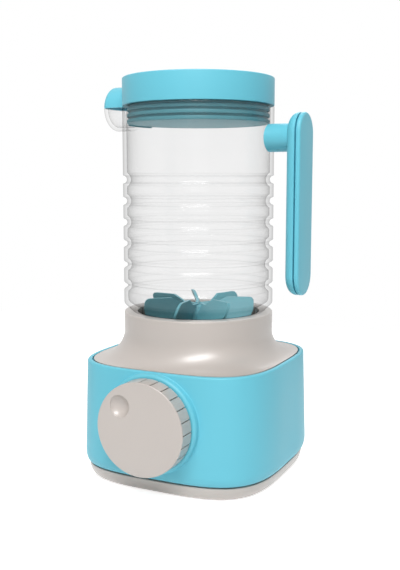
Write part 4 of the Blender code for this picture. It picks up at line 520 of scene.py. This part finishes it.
def metal(name, color, roughness):
    """Plated or drawn metal with a patchy gloss."""
    made, nodes, links = new_material(name)
    output = nodes.new("ShaderNodeOutputMaterial")
    shader = nodes.new("ShaderNodeBsdfPrincipled")
    shader.inputs["Base Color"].default_value = (*color, 1)
    shader.inputs["Metallic"].default_value = 1
    links.new(shader.outputs["BSDF"], output.inputs["Surface"])
    place = nodes.new("ShaderNodeTexCoord")
    patches = nodes.new("ShaderNodeTexNoise")
    patches.inputs["Scale"].default_value = METAL_SCALE
    patches.inputs["Detail"].default_value = 4
    links.new(place.outputs["Object"], patches.inputs["Vector"])
    gloss = nodes.new("ShaderNodeMapRange")
    gloss.inputs["To Min"].default_value = roughness - METAL_DRIFT
    gloss.inputs["To Max"].default_value = roughness + METAL_DRIFT
    links.new(patches.outputs["Fac"], gloss.inputs["Value"])
    links.new(gloss.outputs["Result"], shader.inputs["Roughness"])
    return made


BLUE = moulded("blue_plastic_fine", (0.145, 0.574, 0.710), 0.45, spread=0.03)
TEAL = moulded("teal_plastic_fine", (0.080, 0.298, 0.352), 0.48, spread=0.04)
BLADE = moulded("blade_plastic_fine", (0.145, 0.445, 0.515), 0.48, spread=0.04)
GREY = moulded("grey_plastic_fine", (0.52, 0.468, 0.432), 0.37, spread=0.03, coat=0.35, mirror=1.0)
CLEAR = clear_plastic()
WHITE = moulded("white_plastic_fine", (0.80, 0.80, 0.77), 0.45)
RUBBER = moulded("rubber_fine", (0.05, 0.05, 0.05), 0.85, grain=0.00006)
RED = moulded("red_sleeve_fine", (0.45, 0.04, 0.03), 0.55)
SLEEVE = moulded("battery_sleeve_fine", (0.10, 0.11, 0.13), 0.35)
STEEL = metal("steel_fine", (0.62, 0.62, 0.62), 0.32)
BRASS = metal("brass_fine", (0.72, 0.53, 0.24), 0.30)

BY_SLOT = {
    "blue_plastic": BLUE,
    "teal_plastic": TEAL,
    "grey_plastic": GREY,
    "clear_plastic": CLEAR,
    "white_plastic": WHITE,
    "dark_rubber": RUBBER,
    "red_sleeve": RED,
    "battery_sleeve": SLEEVE,
    "steel": STEEL,
    "brass": BRASS,
}


def dress_cad_nodes():
    """Gives each CAD node that stays in sight the finish of its record's slot."""
    for part in frame["record"]["subparts"]:
        node = frame["nodes"][part["node"]]
        node.data.materials.clear()
        node.data.materials.append(BY_SLOT[part["material_slot"]])


# Base


def shell_half(height):
    share = (height - SHELL_BOTTOM) / (RIM - SHELL_BOTTOM)
    return SHELL_HALF - SHELL_TAPER * share


def shell_front(x, height):
    """Where the shell's front face lies at a place across and up."""
    half = shell_half(height)
    return -half * (1 - (abs(x) / half) ** SQUARENESS) ** (1 / SQUARENESS)


def boss_skin():
    """The low boss behind the dial, with a rounded edge and a small fillet onto the shell's front."""
    rings = [[Vector((0, BOSS_FACE, DIAL_HEIGHT))]]
    levels = [(BOSS_RADIUS / 2, BOSS_FACE, 0)]
    for step in range(2 * ARC_STEPS + 1):
        turn = math.pi / 4 * step / ARC_STEPS
        reach = BOSS_RADIUS - BOSS_EDGE * (1 - math.sin(turn))
        levels.append((reach, BOSS_FACE + BOSS_EDGE * (1 - math.cos(turn)), BOSS_FILLET))
    for step in range(1, ARC_STEPS + 1):
        turn = math.pi / 2 * step / ARC_STEPS
        reach = BOSS_RADIUS + BOSS_FILLET * (1 - math.cos(turn))
        levels.append((reach, 0, BOSS_FILLET * (1 - math.sin(turn))))
    for reach, depth, above in levels:
        ring = []
        for index in range(ROUND_SIDES):
            angle = math.tau * index / ROUND_SIDES
            x = reach * math.cos(angle)
            z = DIAL_HEIGHT + reach * math.sin(angle)
            on_shell = shell_front(x, min(z, RIM - SHELL_EDGE)) - SKIN - above
            ring.append(Vector((x, min(depth, on_shell), z)))
        rings.append(ring)
    behind = [Vector((point.x, point.y + SHELL_WALL / 2, point.z)) for point in rings[-1]]
    rings.append(behind)
    return skinned("boss_skin", rings)


def make_shell():
    top_half = SHELL_HALF - SHELL_TAPER
    lip_half = top_half - SHELL_LIP_WIDTH
    seat = RIM - SHELL_LIP_DEPTH
    under_ledge = seat - SHELL_LEDGE_THICKNESS
    curve_top = SHELL_BOTTOM + SHELL_CURVE
    curve_half = shell_half(curve_top)
    corners = [
        (SHELL_OPENING, SHELL_BOTTOM, 0),
        (curve_half - SHELL_CURVE_INSET, SHELL_BOTTOM, SHELL_LOWER_EDGE),
    ]
    for step in range(CURVE_STEPS - 1, -1, -1):
        turn = math.pi / 2 * step / CURVE_STEPS
        half = curve_half - SHELL_CURVE_INSET * (1 - math.cos(turn))
        corners.append((half, curve_top - SHELL_CURVE * math.sin(turn), 0))
    corners += [
        (top_half, RIM, SHELL_EDGE),
        (lip_half, RIM, SHELL_LIP_EDGE),
        (lip_half, seat, 0),
        (lip_half - SHELL_LEDGE, seat, 0),
        (lip_half - SHELL_LEDGE, under_ledge, 0),
        (shell_half(under_ledge) - SHELL_WALL, under_ledge, 0),
        (curve_half - SHELL_WALL, curve_top, 0),
        (SHELL_OPENING, SHELL_BOTTOM + SHELL_CURVE / 2, 0),
    ]
    profile = softened(corners)
    shell = skinned("shell_wall", square_rings(profile), looped=True)
    place_piece(joined("shell", [shell, boss_skin()]), "base", BLUE, "blue_plastic", "base_shell")


def make_cover():
    flare_top = COLLAR_TOP - COLLAR_OUTER_EDGE - COLLAR_STRAIGHT
    collar = softened(
        [
            (WELL_HOLE, WELL_FLOOR, 0),
            (WELL_RADIUS, WELL_FLOOR, WELL_CORNER),
            (WELL_RADIUS, COLLAR_TOP, COLLAR_INNER_EDGE),
            (COLLAR_RADIUS, COLLAR_TOP, COLLAR_OUTER_EDGE),
            (COLLAR_RADIUS, flare_top, 0),
        ],
        looped=False,
    )
    rings = [base_ring(radius, radius, 0, height) for radius, height in collar]
    for step in range(1, FLARE_STEPS + 1):
        turn = math.pi / 2 * step / FLARE_STEPS
        height = flare_top - (flare_top - RIM) * math.sin(turn)
        rings.append(base_ring(COLLAR_RADIUS, COVER_EDGE - SHOW_GAP, 1 - math.cos(turn), height))
    skirt = COVER_EDGE - SHELL_LEDGE
    seat = RIM - SHELL_LIP_DEPTH + FIT
    skirt_end = seat - SHELL_LEDGE_THICKNESS
    edges = [(COVER_EDGE - SHOW_GAP, RIM - COVER_CHAMFER), (COVER_EDGE - SHOW_GAP, seat), (skirt, seat)]
    edges += [(skirt, skirt_end), (skirt - SKIRT_WALL, skirt_end)]
    rings += square_rings(edges)
    inside = COLLAR_RADIUS - COVER_WALL
    for step in range(FLARE_STEPS // 2, -1, -1):
        turn = math.pi / 2 * step / (FLARE_STEPS // 2)
        height = flare_top - COVER_WALL - (flare_top - RIM) * math.sin(turn)
        rings.append(base_ring(inside, skirt - SKIRT_WALL, 1 - math.cos(turn), height))
    well_outside = WELL_RADIUS + WELL_WALL
    under = [
        (inside, COLLAR_TOP - COVER_WALL),
        (well_outside, COLLAR_TOP - COVER_WALL),
        (well_outside, WELL_FLOOR - COVER_WALL),
        (WELL_HOLE, WELL_FLOOR - COVER_WALL),
    ]
    rings += [base_ring(radius, radius, 0, height) for radius, height in under]
    cover = skinned("cover", rings, looped=True)
    place_piece(cover, "base", GREY, "grey_plastic", "base_cover")


def make_tray():
    top_half = SHELL_HALF - SHELL_CURVE_INSET - TRAY_INSET_TOP
    floor_half = top_half - TRAY_INSET_FLOOR
    lip_half = SHELL_OPENING - FIT - TRAY_LIP_INSET
    lip_inside = lip_half - TRAY_LIP_WALL
    outside = [(floor_half - TRAY_FLOOR_EDGE, 0)]
    for step in range(1, CURVE_STEPS + 1):
        turn = math.pi / 2 * step / CURVE_STEPS
        half = floor_half + TRAY_INSET_FLOOR * math.sin(turn)
        outside.append((half, (TRAY_SIDE - TRAY_FLOOR_EDGE) * (1 - math.cos(turn))))
    outside += [(top_half, TRAY_SIDE - TRAY_EDGE), (top_half - TRAY_EDGE, TRAY_SIDE)]
    outside += [(lip_half, TRAY_SIDE), (lip_half, TRAY_LIP_TOP), (lip_inside, TRAY_LIP_TOP)]
    outside += [(lip_inside, TRAY_SIDE), (floor_half - TRAY_WALL, TRAY_FLOOR)]
    tray = skinned("tray", square_rings(outside))
    place_piece(tray, "base", GREY, "grey_plastic", "base_tray")


# Dial


def make_dial():
    """The face flows from a thumb dimple out to the rim, whose side has a groove every 15 degrees."""
    angles = []
    pitch = math.tau / DIAL_GROOVES
    half = DIAL_GROOVE_WIDTH / 2 / DIAL_RADIUS
    floor = half * DIAL_GROOVE_FLOOR
    offsets = [(-half, False), (-floor, True), (floor, True), (half, False)]
    for groove in range(DIAL_GROOVES):
        middle = pitch * groove
        angles += [(middle + offset, deep) for offset, deep in offsets]
        for step in range(1, DIAL_LAND_STEPS):
            angles.append((middle + half + (pitch - 2 * half) * step / DIAL_LAND_STEPS, False))
    thickness = DIAL_BACK - DIAL_FRONT

    def ring(radius, height, grooved=False):
        points = []
        for angle, deep in angles:
            reach = radius - (DIAL_GROOVE_DEPTH if grooved and deep else 0)
            points.append(Vector((reach * math.cos(angle), reach * math.sin(angle), height)))
        return points

    across = DIMPLE_DISTANCE * math.cos(DIMPLE_ANGLE)
    up = DIMPLE_DISTANCE * math.sin(DIMPLE_ANGLE)
    centre = Vector((across, up, 0))
    sphere = (DIMPLE_RADIUS**2 + DIMPLE_DEPTH**2) / (2 * DIMPLE_DEPTH)
    slope = math.asin(DIMPLE_RADIUS / sphere)
    rings = [[centre + Vector((0, 0, thickness - DIMPLE_DEPTH))]]
    for step in range(1, CURVE_STEPS + 1):
        turn = slope * step / CURVE_STEPS * DIMPLE_SWEEP
        height = thickness + (sphere - DIMPLE_DEPTH) - sphere * math.cos(turn)
        rings.append([centre + point for point in ring(sphere * math.sin(turn), height)])
    last = rings[-1][0].z
    for step in range(1, ARC_STEPS + 1):
        share = step / ARC_STEPS
        radius = DIMPLE_BOWL + DIMPLE_EDGE * share
        height = last + (thickness - last) * math.sin(math.pi / 2 * share)
        rings.append([centre + point for point in ring(radius, height)])
    inner = DIMPLE_BOWL + DIMPLE_EDGE
    outer = DIAL_RADIUS - DIAL_EDGE
    for step in range(1, DIAL_FACE_RINGS + 1):
        share = step / DIAL_FACE_RINGS
        around = ring(inner + (outer - inner) * share, thickness)
        rings.append([centre * (1 - share) + point for point in around])
    for step in range(1, ARC_STEPS + 1):
        turn = math.pi / 2 * step / ARC_STEPS
        radius = outer + DIAL_EDGE * math.sin(turn)
        rings.append(ring(radius, thickness - DIAL_EDGE * (1 - math.cos(turn))))
    side_top = thickness - DIAL_EDGE
    rings += [ring(DIAL_RADIUS, side_top - SKIN, True), ring(DIAL_RADIUS, thickness / 2, True)]
    groove_floor = DIAL_RADIUS - DIAL_GROOVE_DEPTH
    rings += [ring(DIAL_RADIUS, DIAL_EDGE, True), ring(groove_floor, DIAL_EDGE / 2)]
    rings += [ring(groove_floor, 0), ring(DIAL_RADIUS / 2, 0), [Vector((0, 0, 0))]]
    dial = skinned("dial_knob", rings, angle=DIAL_SHARP_ANGLE)
    turn = Matrix(((1, 0, 0, 0), (0, 0, -1, DIAL_BACK), (0, 1, 0, DIAL_HEIGHT), (0, 0, 0, 1)))
    dial.data.transform(turn)
    place_piece(dial, "dial", GREY, "grey_plastic", "dial")


# Jar


def spout_form(name, radius, reach, dome, inward):
    """A tube end along -X with a domed nose, its axis at the jar's rim."""
    profile = [(0, reach)]
    for step in range(1, CURVE_STEPS + 1):
        turn = math.pi / 2 * step / CURVE_STEPS
        profile.append((radius * math.sin(turn), reach - dome * (1 - math.cos(turn))))
    profile += [(radius, -inward), (0, -inward)]
    form = lathe(name, profile, SPOUT_SIDES, looped=False)
    return turned_to(form, (-1, 0, 0), (-JAR_RADIUS, 0, JAR_RIM + FIT / 2))


def half_block(name, bottom, top):
    far = JAR_RADIUS + SPOUT_REACH + OVERRUN
    side = SPOUT_RADIUS + OVERRUN
    return block(name, (-far, -side, bottom), (0, side, top))


def make_jar():
    foot_bore = JAR_FOOT_RADIUS - JAR_FOOT_WALL
    outer = [(JAR_RADIUS, JAR_RIM, JAR_RIM_EDGE)]
    bead_heights = [FIRST_BEAD - BEAD_PITCH * index for index in range(BEADS)]
    for height in bead_heights:
        for step in range(BEAD_STEPS + 1):
            turn = math.pi / 2 - math.pi * step / BEAD_STEPS
            radius = JAR_RADIUS - BEAD_RADIUS * math.cos(turn)
            rounding = BEAD_EDGE if step in (0, BEAD_STEPS) else 0
            outer.append((radius, height + BEAD_RADIUS * math.sin(turn), rounding))
    outer += [
        (JAR_RADIUS, JAR_BODY_BOTTOM, JAR_BODY_CORNER),
        (JAR_RADIUS - JAR_SHOULDER_INSET, JAR_SHOULDER, JAR_EDGE),
        (JAR_FOOT_RADIUS, JAR_SHOULDER, SMALL_EDGE),
        (JAR_FOOT_RADIUS, JAR_FOOT, JAR_EDGE),
        (foot_bore, JAR_FOOT, SMALL_EDGE),
        (foot_bore, JAR_FLOOR_UNDERSIDE, 0),
        (BUSH_SOCKET, JAR_FLOOR_UNDERSIDE, 0),
        (BUSH_SOCKET, JAR_BOSS_TOP - JAR_BOSS_ROOF, 0),
        (SPINDLE_HOLE, JAR_BOSS_TOP - JAR_BOSS_ROOF, 0),
        (SPINDLE_HOLE, JAR_BOSS_TOP, 0),
        (JAR_BOSS_RADIUS, JAR_BOSS_TOP, JAR_EDGE),
        (JAR_BOSS_RADIUS, JAR_FLOOR_TOP, JAR_EDGE),
        (foot_bore, JAR_FLOOR_TOP, JAR_FLOOR_CORNER),
        (foot_bore, JAR_SHOULDER + JAR_WALL / 2, JAR_BODY_CORNER),
        (JAR_RADIUS - JAR_WALL, JAR_BODY_BOTTOM + JAR_WALL / 2, JAR_BODY_CORNER_INSIDE),
    ]
    wide = BEAD_RADIUS + JAR_WALL
    start = math.acos(JAR_WALL / wide)
    for height in reversed(bead_heights):
        for step in range(BEAD_STEPS + 1):
            turn = -start + 2 * start * step / BEAD_STEPS
            radius = JAR_RADIUS - wide * math.cos(turn)
            rounding = BEAD_EDGE if step in (0, BEAD_STEPS) else 0
            outer.append((radius, height + wide * math.sin(turn), rounding))
    outer.append((JAR_RADIUS - JAR_WALL, JAR_RIM, JAR_RIM_EDGE))
    jar = lathe("jar_wall", softened(outer, steps=JAR_ARC_STEPS))
    scoop = spout_form("jar_scoop", SPOUT_RADIUS, SPOUT_REACH, SPOUT_DOME, JAR_WALL / 2)
    above_rim = half_block("above_rim", JAR_RIM, JAR_RIM + SPOUT_RADIUS + OVERRUN)
    with_boolean(scoop, "DIFFERENCE", above_rim)
    channel = spout_form(
        "jar_channel",
        SPOUT_RADIUS - SPOUT_WALL,
        SPOUT_REACH - SPOUT_WALL,
        SPOUT_DOME - SPOUT_WALL / 2,
        JAR_WALL + OVERRUN,
    )
    COLLECTION.objects.unlink(scoop)
    with_boolean(jar, "UNION", scoop)
    with_boolean(jar, "DIFFERENCE", channel)
    place_piece(jar, "jar", CLEAR, "clear_plastic", "jar")


# Blades


def blade_top(reach):
    """How far below the blade's flat top its edge lies, at a distance from the axis."""
    if reach < SHOULDER_INNER:
        return SHOULDER_DROP
    if reach < SHOULDER_REACH:
        return SHOULDER_DROP * (SHOULDER_REACH - reach) / (SHOULDER_REACH - SHOULDER_INNER)
    corner = BLADE_REACH - BLADE_CORNER
    if reach > corner:
        return BLADE_CORNER - math.sqrt(max(BLADE_CORNER**2 - (reach - corner) ** 2, 0))
    return 0


def blade_form(name):
    """One blade standing along +X, a thin plate that leans and bows a little."""
    reaches = [HUB_RADIUS * BLADE_ROOT, *BLADE_INNER_REACHES, *BLADE_OUTER_REACHES]
    for step in range(BLADE_CORNER_STEPS + 1):
        turn = math.pi / 2 * step / BLADE_CORNER_STEPS
        reaches.append(BLADE_REACH - BLADE_CORNER * (1 - math.sin(turn)))
    built = bmesh.new()
    sheets = []
    for side in (-1, 1):
        sheet = []
        for reach in reaches:
            top = BLADE_HEIGHT - blade_top(reach)
            heel = max(reach - (BLADE_REACH - BLADE_HEEL), 0) * BLADE_HEIGHT / 2 / BLADE_HEEL
            column = []
            for row in range(BLADE_ROWS + 1):
                height = heel + (top - heel) * row / BLADE_ROWS
                bow = BLADE_BEND * (1 - (2 * reach / BLADE_REACH - 1) ** 2)
                lean = (height - BLADE_HEIGHT / 2) * math.tan(BLADE_TILT)
                across = lean - bow + side * BLADE_THICKNESS / 2 / math.cos(BLADE_TILT)
                column.append(built.verts.new((reach, across, height)))
            sheet.append(column)
        for first, second in zip(sheet, sheet[1:]):
            for row in range(BLADE_ROWS):
                built.faces.new((first[row], second[row], second[row + 1], first[row + 1]))
        sheets.append(sheet)
    border = []
    for sheet in sheets:
        loop = [column[0] for column in sheet] + sheet[-1][1:]
        loop += [column[-1] for column in reversed(sheet[:-1])] + list(reversed(sheet[0][1:-1]))
        border.append(loop)
    for index in range(len(border[0])):
        following = (index + 1) % len(border[0])
        corners = (border[0][index], border[0][following], border[1][following], border[1][index])
        built.faces.new(corners)
    sharp = [edge for edge in built.edges if edge.calc_face_angle(0) > BLADE_SHARP_ANGLE]
    bmesh.ops.bevel(built, geom=sharp, offset=BLADE_EDGE, segments=2, affect="EDGES", profile=0.5)
    return to_object(name, built)


def make_blades():
    bottom = BLADE_TOP - BLADE_HEIGHT
    pieces = []
    for index in range(BLADE_COUNT):
        blade = blade_form("blade")
        turn = Matrix.Rotation(FIRST_BLADE + math.tau * index / BLADE_COUNT, 4, "Z")
        blade.data.transform(Matrix.Translation((0, 0, bottom)) @ turn)
        pieces.append(blade)
    hub_top = ROTOR_LOW.z + HUB_HEIGHT
    hub = softened(
        [
            (0, hub_top, 0),
            (HUB_RADIUS, hub_top, HUB_EDGE),
            (HUB_RADIUS, ROTOR_LOW.z, SMALL_EDGE),
            (0, ROTOR_LOW.z, 0),
        ],
        looped=False,
    )
    pieces.append(lathe("hub", hub, HUB_SIDES, looped=False))
    place_piece(joined("blades", pieces), "blades", BLADE, "teal_plastic", "blade_rotor")


# Lid


def make_lid():
    top = CAP_HIGH.z
    bottom = JAR_RIM + FIT
    inner = JAR_RADIUS - LID_WALL
    profile = softened(
        [
            (0, top, 0),
            (JAR_RADIUS, top, LID_TOP_EDGE),
            (JAR_RADIUS, bottom, SMALL_EDGE),
            (inner, bottom, SMALL_EDGE),
            (inner, top - LID_TOP, LID_INNER_CORNER),
            (0, top - LID_TOP, 0),
        ],
        looped=False,
    )
    cap = lathe("cap_wall", profile, looped=False)
    beak = spout_form("beak", SPOUT_RADIUS, SPOUT_REACH, SPOUT_DOME, LID_WALL / 2)
    below_lid = half_block("below_lid", JAR_RIM - SPOUT_RADIUS - OVERRUN, bottom)
    with_boolean(beak, "DIFFERENCE", below_lid)
    COLLECTION.objects.unlink(beak)
    with_boolean(cap, "UNION", beak)
    hollow = spout_form(
        "beak_hollow",
        SPOUT_RADIUS - SPOUT_WALL,
        SPOUT_REACH - SPOUT_WALL,
        SPOUT_DOME - SPOUT_WALL / 2,
        -FIT,
    )
    with_boolean(cap, "DIFFERENCE", hollow)
    cap.name = "cap"
    place_piece(cap, "lid", BLUE, "blue_plastic", "lid_cap")


def make_plug():
    outer = -SEAL_LOW.x
    core = outer - SEAL_RING_DEPTH
    floor = PLUG_LOW.z + PLUG_CUP
    flange = JAR_RIM + PLUG_FLANGE
    cup = softened(
        [
            (0, PLUG_LOW.z, 0),
            (core, PLUG_LOW.z, PLUG_CORNER),
            (core, floor, SEAL_RING_CORNER),
            (core - PLUG_SKIN, floor, 0),
            (core - PLUG_SKIN, JAR_RIM + FIT, 0),
            (PLUG_HIGH.x, JAR_RIM + FIT, 0),
            (PLUG_HIGH.x, PLUG_HIGH.z, 0),
            (PLUG_HIGH.x - PLUG_FLANGE, PLUG_HIGH.z, 0),
            (PLUG_HIGH.x - PLUG_FLANGE, flange, 0),
            (core - PLUG_INSIDE, flange, 0),
            (core - PLUG_INSIDE, floor, 0),
            (0, floor, 0),
        ],
        looped=False,
    )
    place_piece(lathe("plug", cup, looped=False), "lid", TEAL, "teal_plastic", "lid_plug")
    corners = [(core - SEAL_INSIDE, SEAL_HIGH.z, 0), (core, SEAL_HIGH.z, 0)]
    for index in range(SEAL_RINGS):
        low = PLUG_LOW.z + SEAL_RING_PITCH * (SEAL_RINGS - 1 - index)
        high = min(low + SEAL_RING_HEIGHT, SEAL_HIGH.z - SEAL_TOP_GAP)
        corners += [(core, high, SEAL_RING_CORNER), (outer, high, SEAL_RING_EDGE)]
        corners += [(outer, low, SEAL_RING_EDGE), (core, low, SEAL_RING_CORNER)]
    corners += [(core, PLUG_LOW.z - SKIN, 0), (core - SEAL_INSIDE, PLUG_LOW.z - SKIN, 0)]
    rings = lathe("seal_rings", softened(corners))
    section = [(core, SEAL_LOW.z), (outer, SEAL_LOW.z), (outer, SEAL_HIGH.z), (core, SEAL_HIGH.z)]
    sections = []
    opening = math.asin(SPOUT_RADIUS / outer)
    for step in range(-LAND_STEPS, LAND_STEPS + 1):
        turn = math.pi + opening * step / LAND_STEPS
        across, along = math.cos(turn), math.sin(turn)
        sections.append([Vector((reach * across, reach * along, z)) for reach, z in section])
    land = skinned("seal_land", sections)
    place_piece(joined("seal", [rings, land]), "lid", TEAL, "teal_plastic", "lid_seal")


# Handle


def stadium_ring(inset, x):
    """The handle's outline, with half-round ends, drawn in by an inset and standing in the plane at x."""
    middle = (INNER_LOW.z + INNER_HIGH.z) / 2
    length = INNER_HIGH.z - INNER_LOW.z
    width = INNER_HIGH.y - INNER_LOW.y
    radius = width / 2 - inset
    straight = (length - width) / 2
    points = []
    for end in (1, -1):
        for step in range(END_SIDES + 1):
            turn = math.pi * step / END_SIDES
            height = middle + end * (straight + radius * math.sin(turn))
            points.append(Vector((x, end * radius * math.cos(turn), height)))
    return points


def stadium_plate(name, start, end, edge_start, edge_end, inset=0.0):
    rings = []
    for step in range(ARC_STEPS + 1):
        turn = math.pi / 2 * step / ARC_STEPS
        draw = inset + edge_start * (1 - math.sin(turn))
        rings.append(stadium_ring(draw, start + edge_start * (1 - math.cos(turn))))
    for step in range(ARC_STEPS + 1):
        turn = math.pi / 2 * step / ARC_STEPS
        draw = inset + edge_end * (1 - math.cos(turn))
        rings.append(stadium_ring(draw, end - edge_end * (1 - math.sin(turn))))
    return skinned(name, rings)


def handle_shell(name, face, back):
    """The half on the jar's side, whose edge is rounded from its face out to the seam."""
    levels = []
    for step in range(CURVE_STEPS + 1):
        turn = math.pi / 2 * step / CURVE_STEPS
        inset = HANDLE_INNER_INSET * (1 - math.sin(turn))
        levels.append((inset, face + HANDLE_INNER_ROUNDING * (1 - math.cos(turn))))
    levels += [(0, back - HANDLE_SEAM), (HANDLE_SEAM, back)]
    return skinned(name, [stadium_ring(inset, x) for inset, x in levels])


def make_handle():
    face = OUTER_HIGH.x
    split = INNER_HIGH.x - HANDLE_STEP_HEIGHT
    inner_face = split - HANDLE_INNER_THICKNESS
    boss_height = INNER_HIGH.z - HANDLE_BOSS_DROP
    plate = handle_shell("inner_plate", inner_face, split)
    step = stadium_plate("step", split - HANDLE_SEAM, INNER_HIGH.x, SKIN, SKIN, HANDLE_STEP_INSET)
    start = JAR_RADIUS - HANDLE_BOSS_RADIUS
    boss_profile = [
        (HANDLE_BOSS_RADIUS - HANDLE_BOSS_WALL, start),
        (HANDLE_BOSS_RADIUS, start),
        (HANDLE_BOSS_RADIUS, inner_face - HANDLE_FLARE_START),
        (HANDLE_BOSS_RADIUS + HANDLE_FLARE, inner_face + HANDLE_SINK),
        (HANDLE_BOSS_RADIUS - HANDLE_BOSS_WALL, inner_face + HANDLE_SINK),
    ]
    boss = turned_to(lathe("boss", boss_profile, SPOUT_SIDES), (1, 0, 0), (0, 0, boss_height))
    radius = JAR_RADIUS + FIT
    low = boss_height - 2 * HANDLE_BOSS_RADIUS
    high = boss_height + 2 * HANDLE_BOSS_RADIUS
    clearance = lathe("jar_space", [(0, high), (radius, high), (radius, low), (0, low)], looped=False)
    with_boolean(boss, "DIFFERENCE", clearance)
    COLLECTION.objects.unlink(boss)
    place_piece(joined("handle_back", [plate, step, boss]), "jar", BLUE, "blue_plastic", "handle_inner")
    front_start = face - HANDLE_OUTER_THICKNESS
    front = stadium_plate("handle_front", front_start, face, HANDLE_EDGE / 2, HANDLE_OUTER_EDGE)
    place_piece(front, "jar", BLUE, "blue_plastic", "handle_outer")


# Floor, light and camera


def seen_rays(nodes, links):
    """1 for what the camera sees, also through clear plastic or in a mirror, and 0 for the light itself."""
    path = nodes.new("ShaderNodeLightPath")
    value = path.outputs["Is Camera Ray"]
    for kind in ("Is Transmission Ray", "Is Glossy Ray"):
        either = nodes.new("ShaderNodeMath")
        either.operation = "MAXIMUM"
        links.new(value, either.inputs[0])
        links.new(path.outputs[kind], either.inputs[1])
        value = either.outputs["Value"]
    return value


def floor_material():
    """A pale floor that keeps the shadow, and is lifted to white where the camera or a mirror sees it."""
    made, nodes, links = new_material("pale_floor")
    output = nodes.new("ShaderNodeOutputMaterial")
    matt = nodes.new("ShaderNodeBsdfDiffuse")
    matt.inputs["Color"].default_value = (FLOOR_PALE, FLOOR_PALE, FLOOR_PALE, 1)
    glow = nodes.new("ShaderNodeEmission")
    glow.inputs["Color"].default_value = (1, 1, 1, 1)
    lift = nodes.new("ShaderNodeMath")
    lift.operation = "MULTIPLY"
    lift.inputs[1].default_value = FLOOR_LIFT
    links.new(seen_rays(nodes, links), lift.inputs[0])
    links.new(lift.outputs["Value"], glow.inputs["Strength"])
    both = nodes.new("ShaderNodeAddShader")
    links.new(matt.outputs["BSDF"], both.inputs[0])
    links.new(glow.outputs["Emission"], both.inputs[1])
    links.new(both.outputs["Shader"], output.inputs["Surface"])
    return made


def make_floor():
    built = bmesh.new()
    bmesh.ops.create_grid(built, x_segments=2, y_segments=2, size=FLOOR_SIZE / 2)
    floor = to_object("floor", built)
    floor.location = (0, 0, TRAY_LOW.z - SKIN)
    floor.data.materials.append(floor_material())
    COLLECTION.objects.link(floor)


def make_world():
    world = bpy.data.worlds.new("studio")
    bpy.context.scene.world = world
    world.use_nodes = True
    nodes = world.node_tree.nodes
    links = world.node_tree.links
    nodes.clear()
    output = nodes.new("ShaderNodeOutputWorld")
    ambient = nodes.new("ShaderNodeBackground")
    ambient.inputs["Color"].default_value = (1, 1, 1, 1)
    ambient.inputs["Strength"].default_value = AMBIENT
    white = nodes.new("ShaderNodeBackground")
    white.inputs["Color"].default_value = (1, 1, 1, 1)
    white.inputs["Strength"].default_value = 1
    mix = nodes.new("ShaderNodeMixShader")
    links.new(seen_rays(nodes, links), mix.inputs["Fac"])
    links.new(ambient.outputs["Background"], mix.inputs[1])
    links.new(white.outputs["Background"], mix.inputs[2])
    links.new(mix.outputs["Shader"], output.inputs["Surface"])


def make_lamps():
    for name, (place, size, power) in LAMPS.items():
        lamp = bpy.data.lights.new(name, "AREA")
        lamp.shape = "RECTANGLE"
        lamp.size, lamp.size_y = size
        lamp.energy = power
        holder = bpy.data.objects.new(name, lamp)
        holder.location = place
        holder.rotation_euler = (Vector(LAMP_AIM) - Vector(place)).to_track_quat("-Z", "Y").to_euler()
        COLLECTION.objects.link(holder)


def make_camera():
    lens = bpy.data.cameras.new("camera")
    lens.lens = CAMERA_LENS
    lens.sensor_width = CAMERA_SENSOR
    lens.clip_start = CAMERA_NEAR
    holder = bpy.data.objects.new("camera", lens)
    holder.location = CAMERA_PLACE
    holder.rotation_euler = CAMERA_TURN
    COLLECTION.objects.link(holder)
    bpy.context.scene.camera = holder


def main():
    bpy.context.scene.view_settings.view_transform = "Standard"
    dress_cad_nodes()
    make_shell()
    make_cover()
    make_tray()
    make_dial()
    make_jar()
    make_blades()
    make_lid()
    make_plug()
    make_handle()
    make_floor()
    make_world()
    make_lamps()
    make_camera()


main()
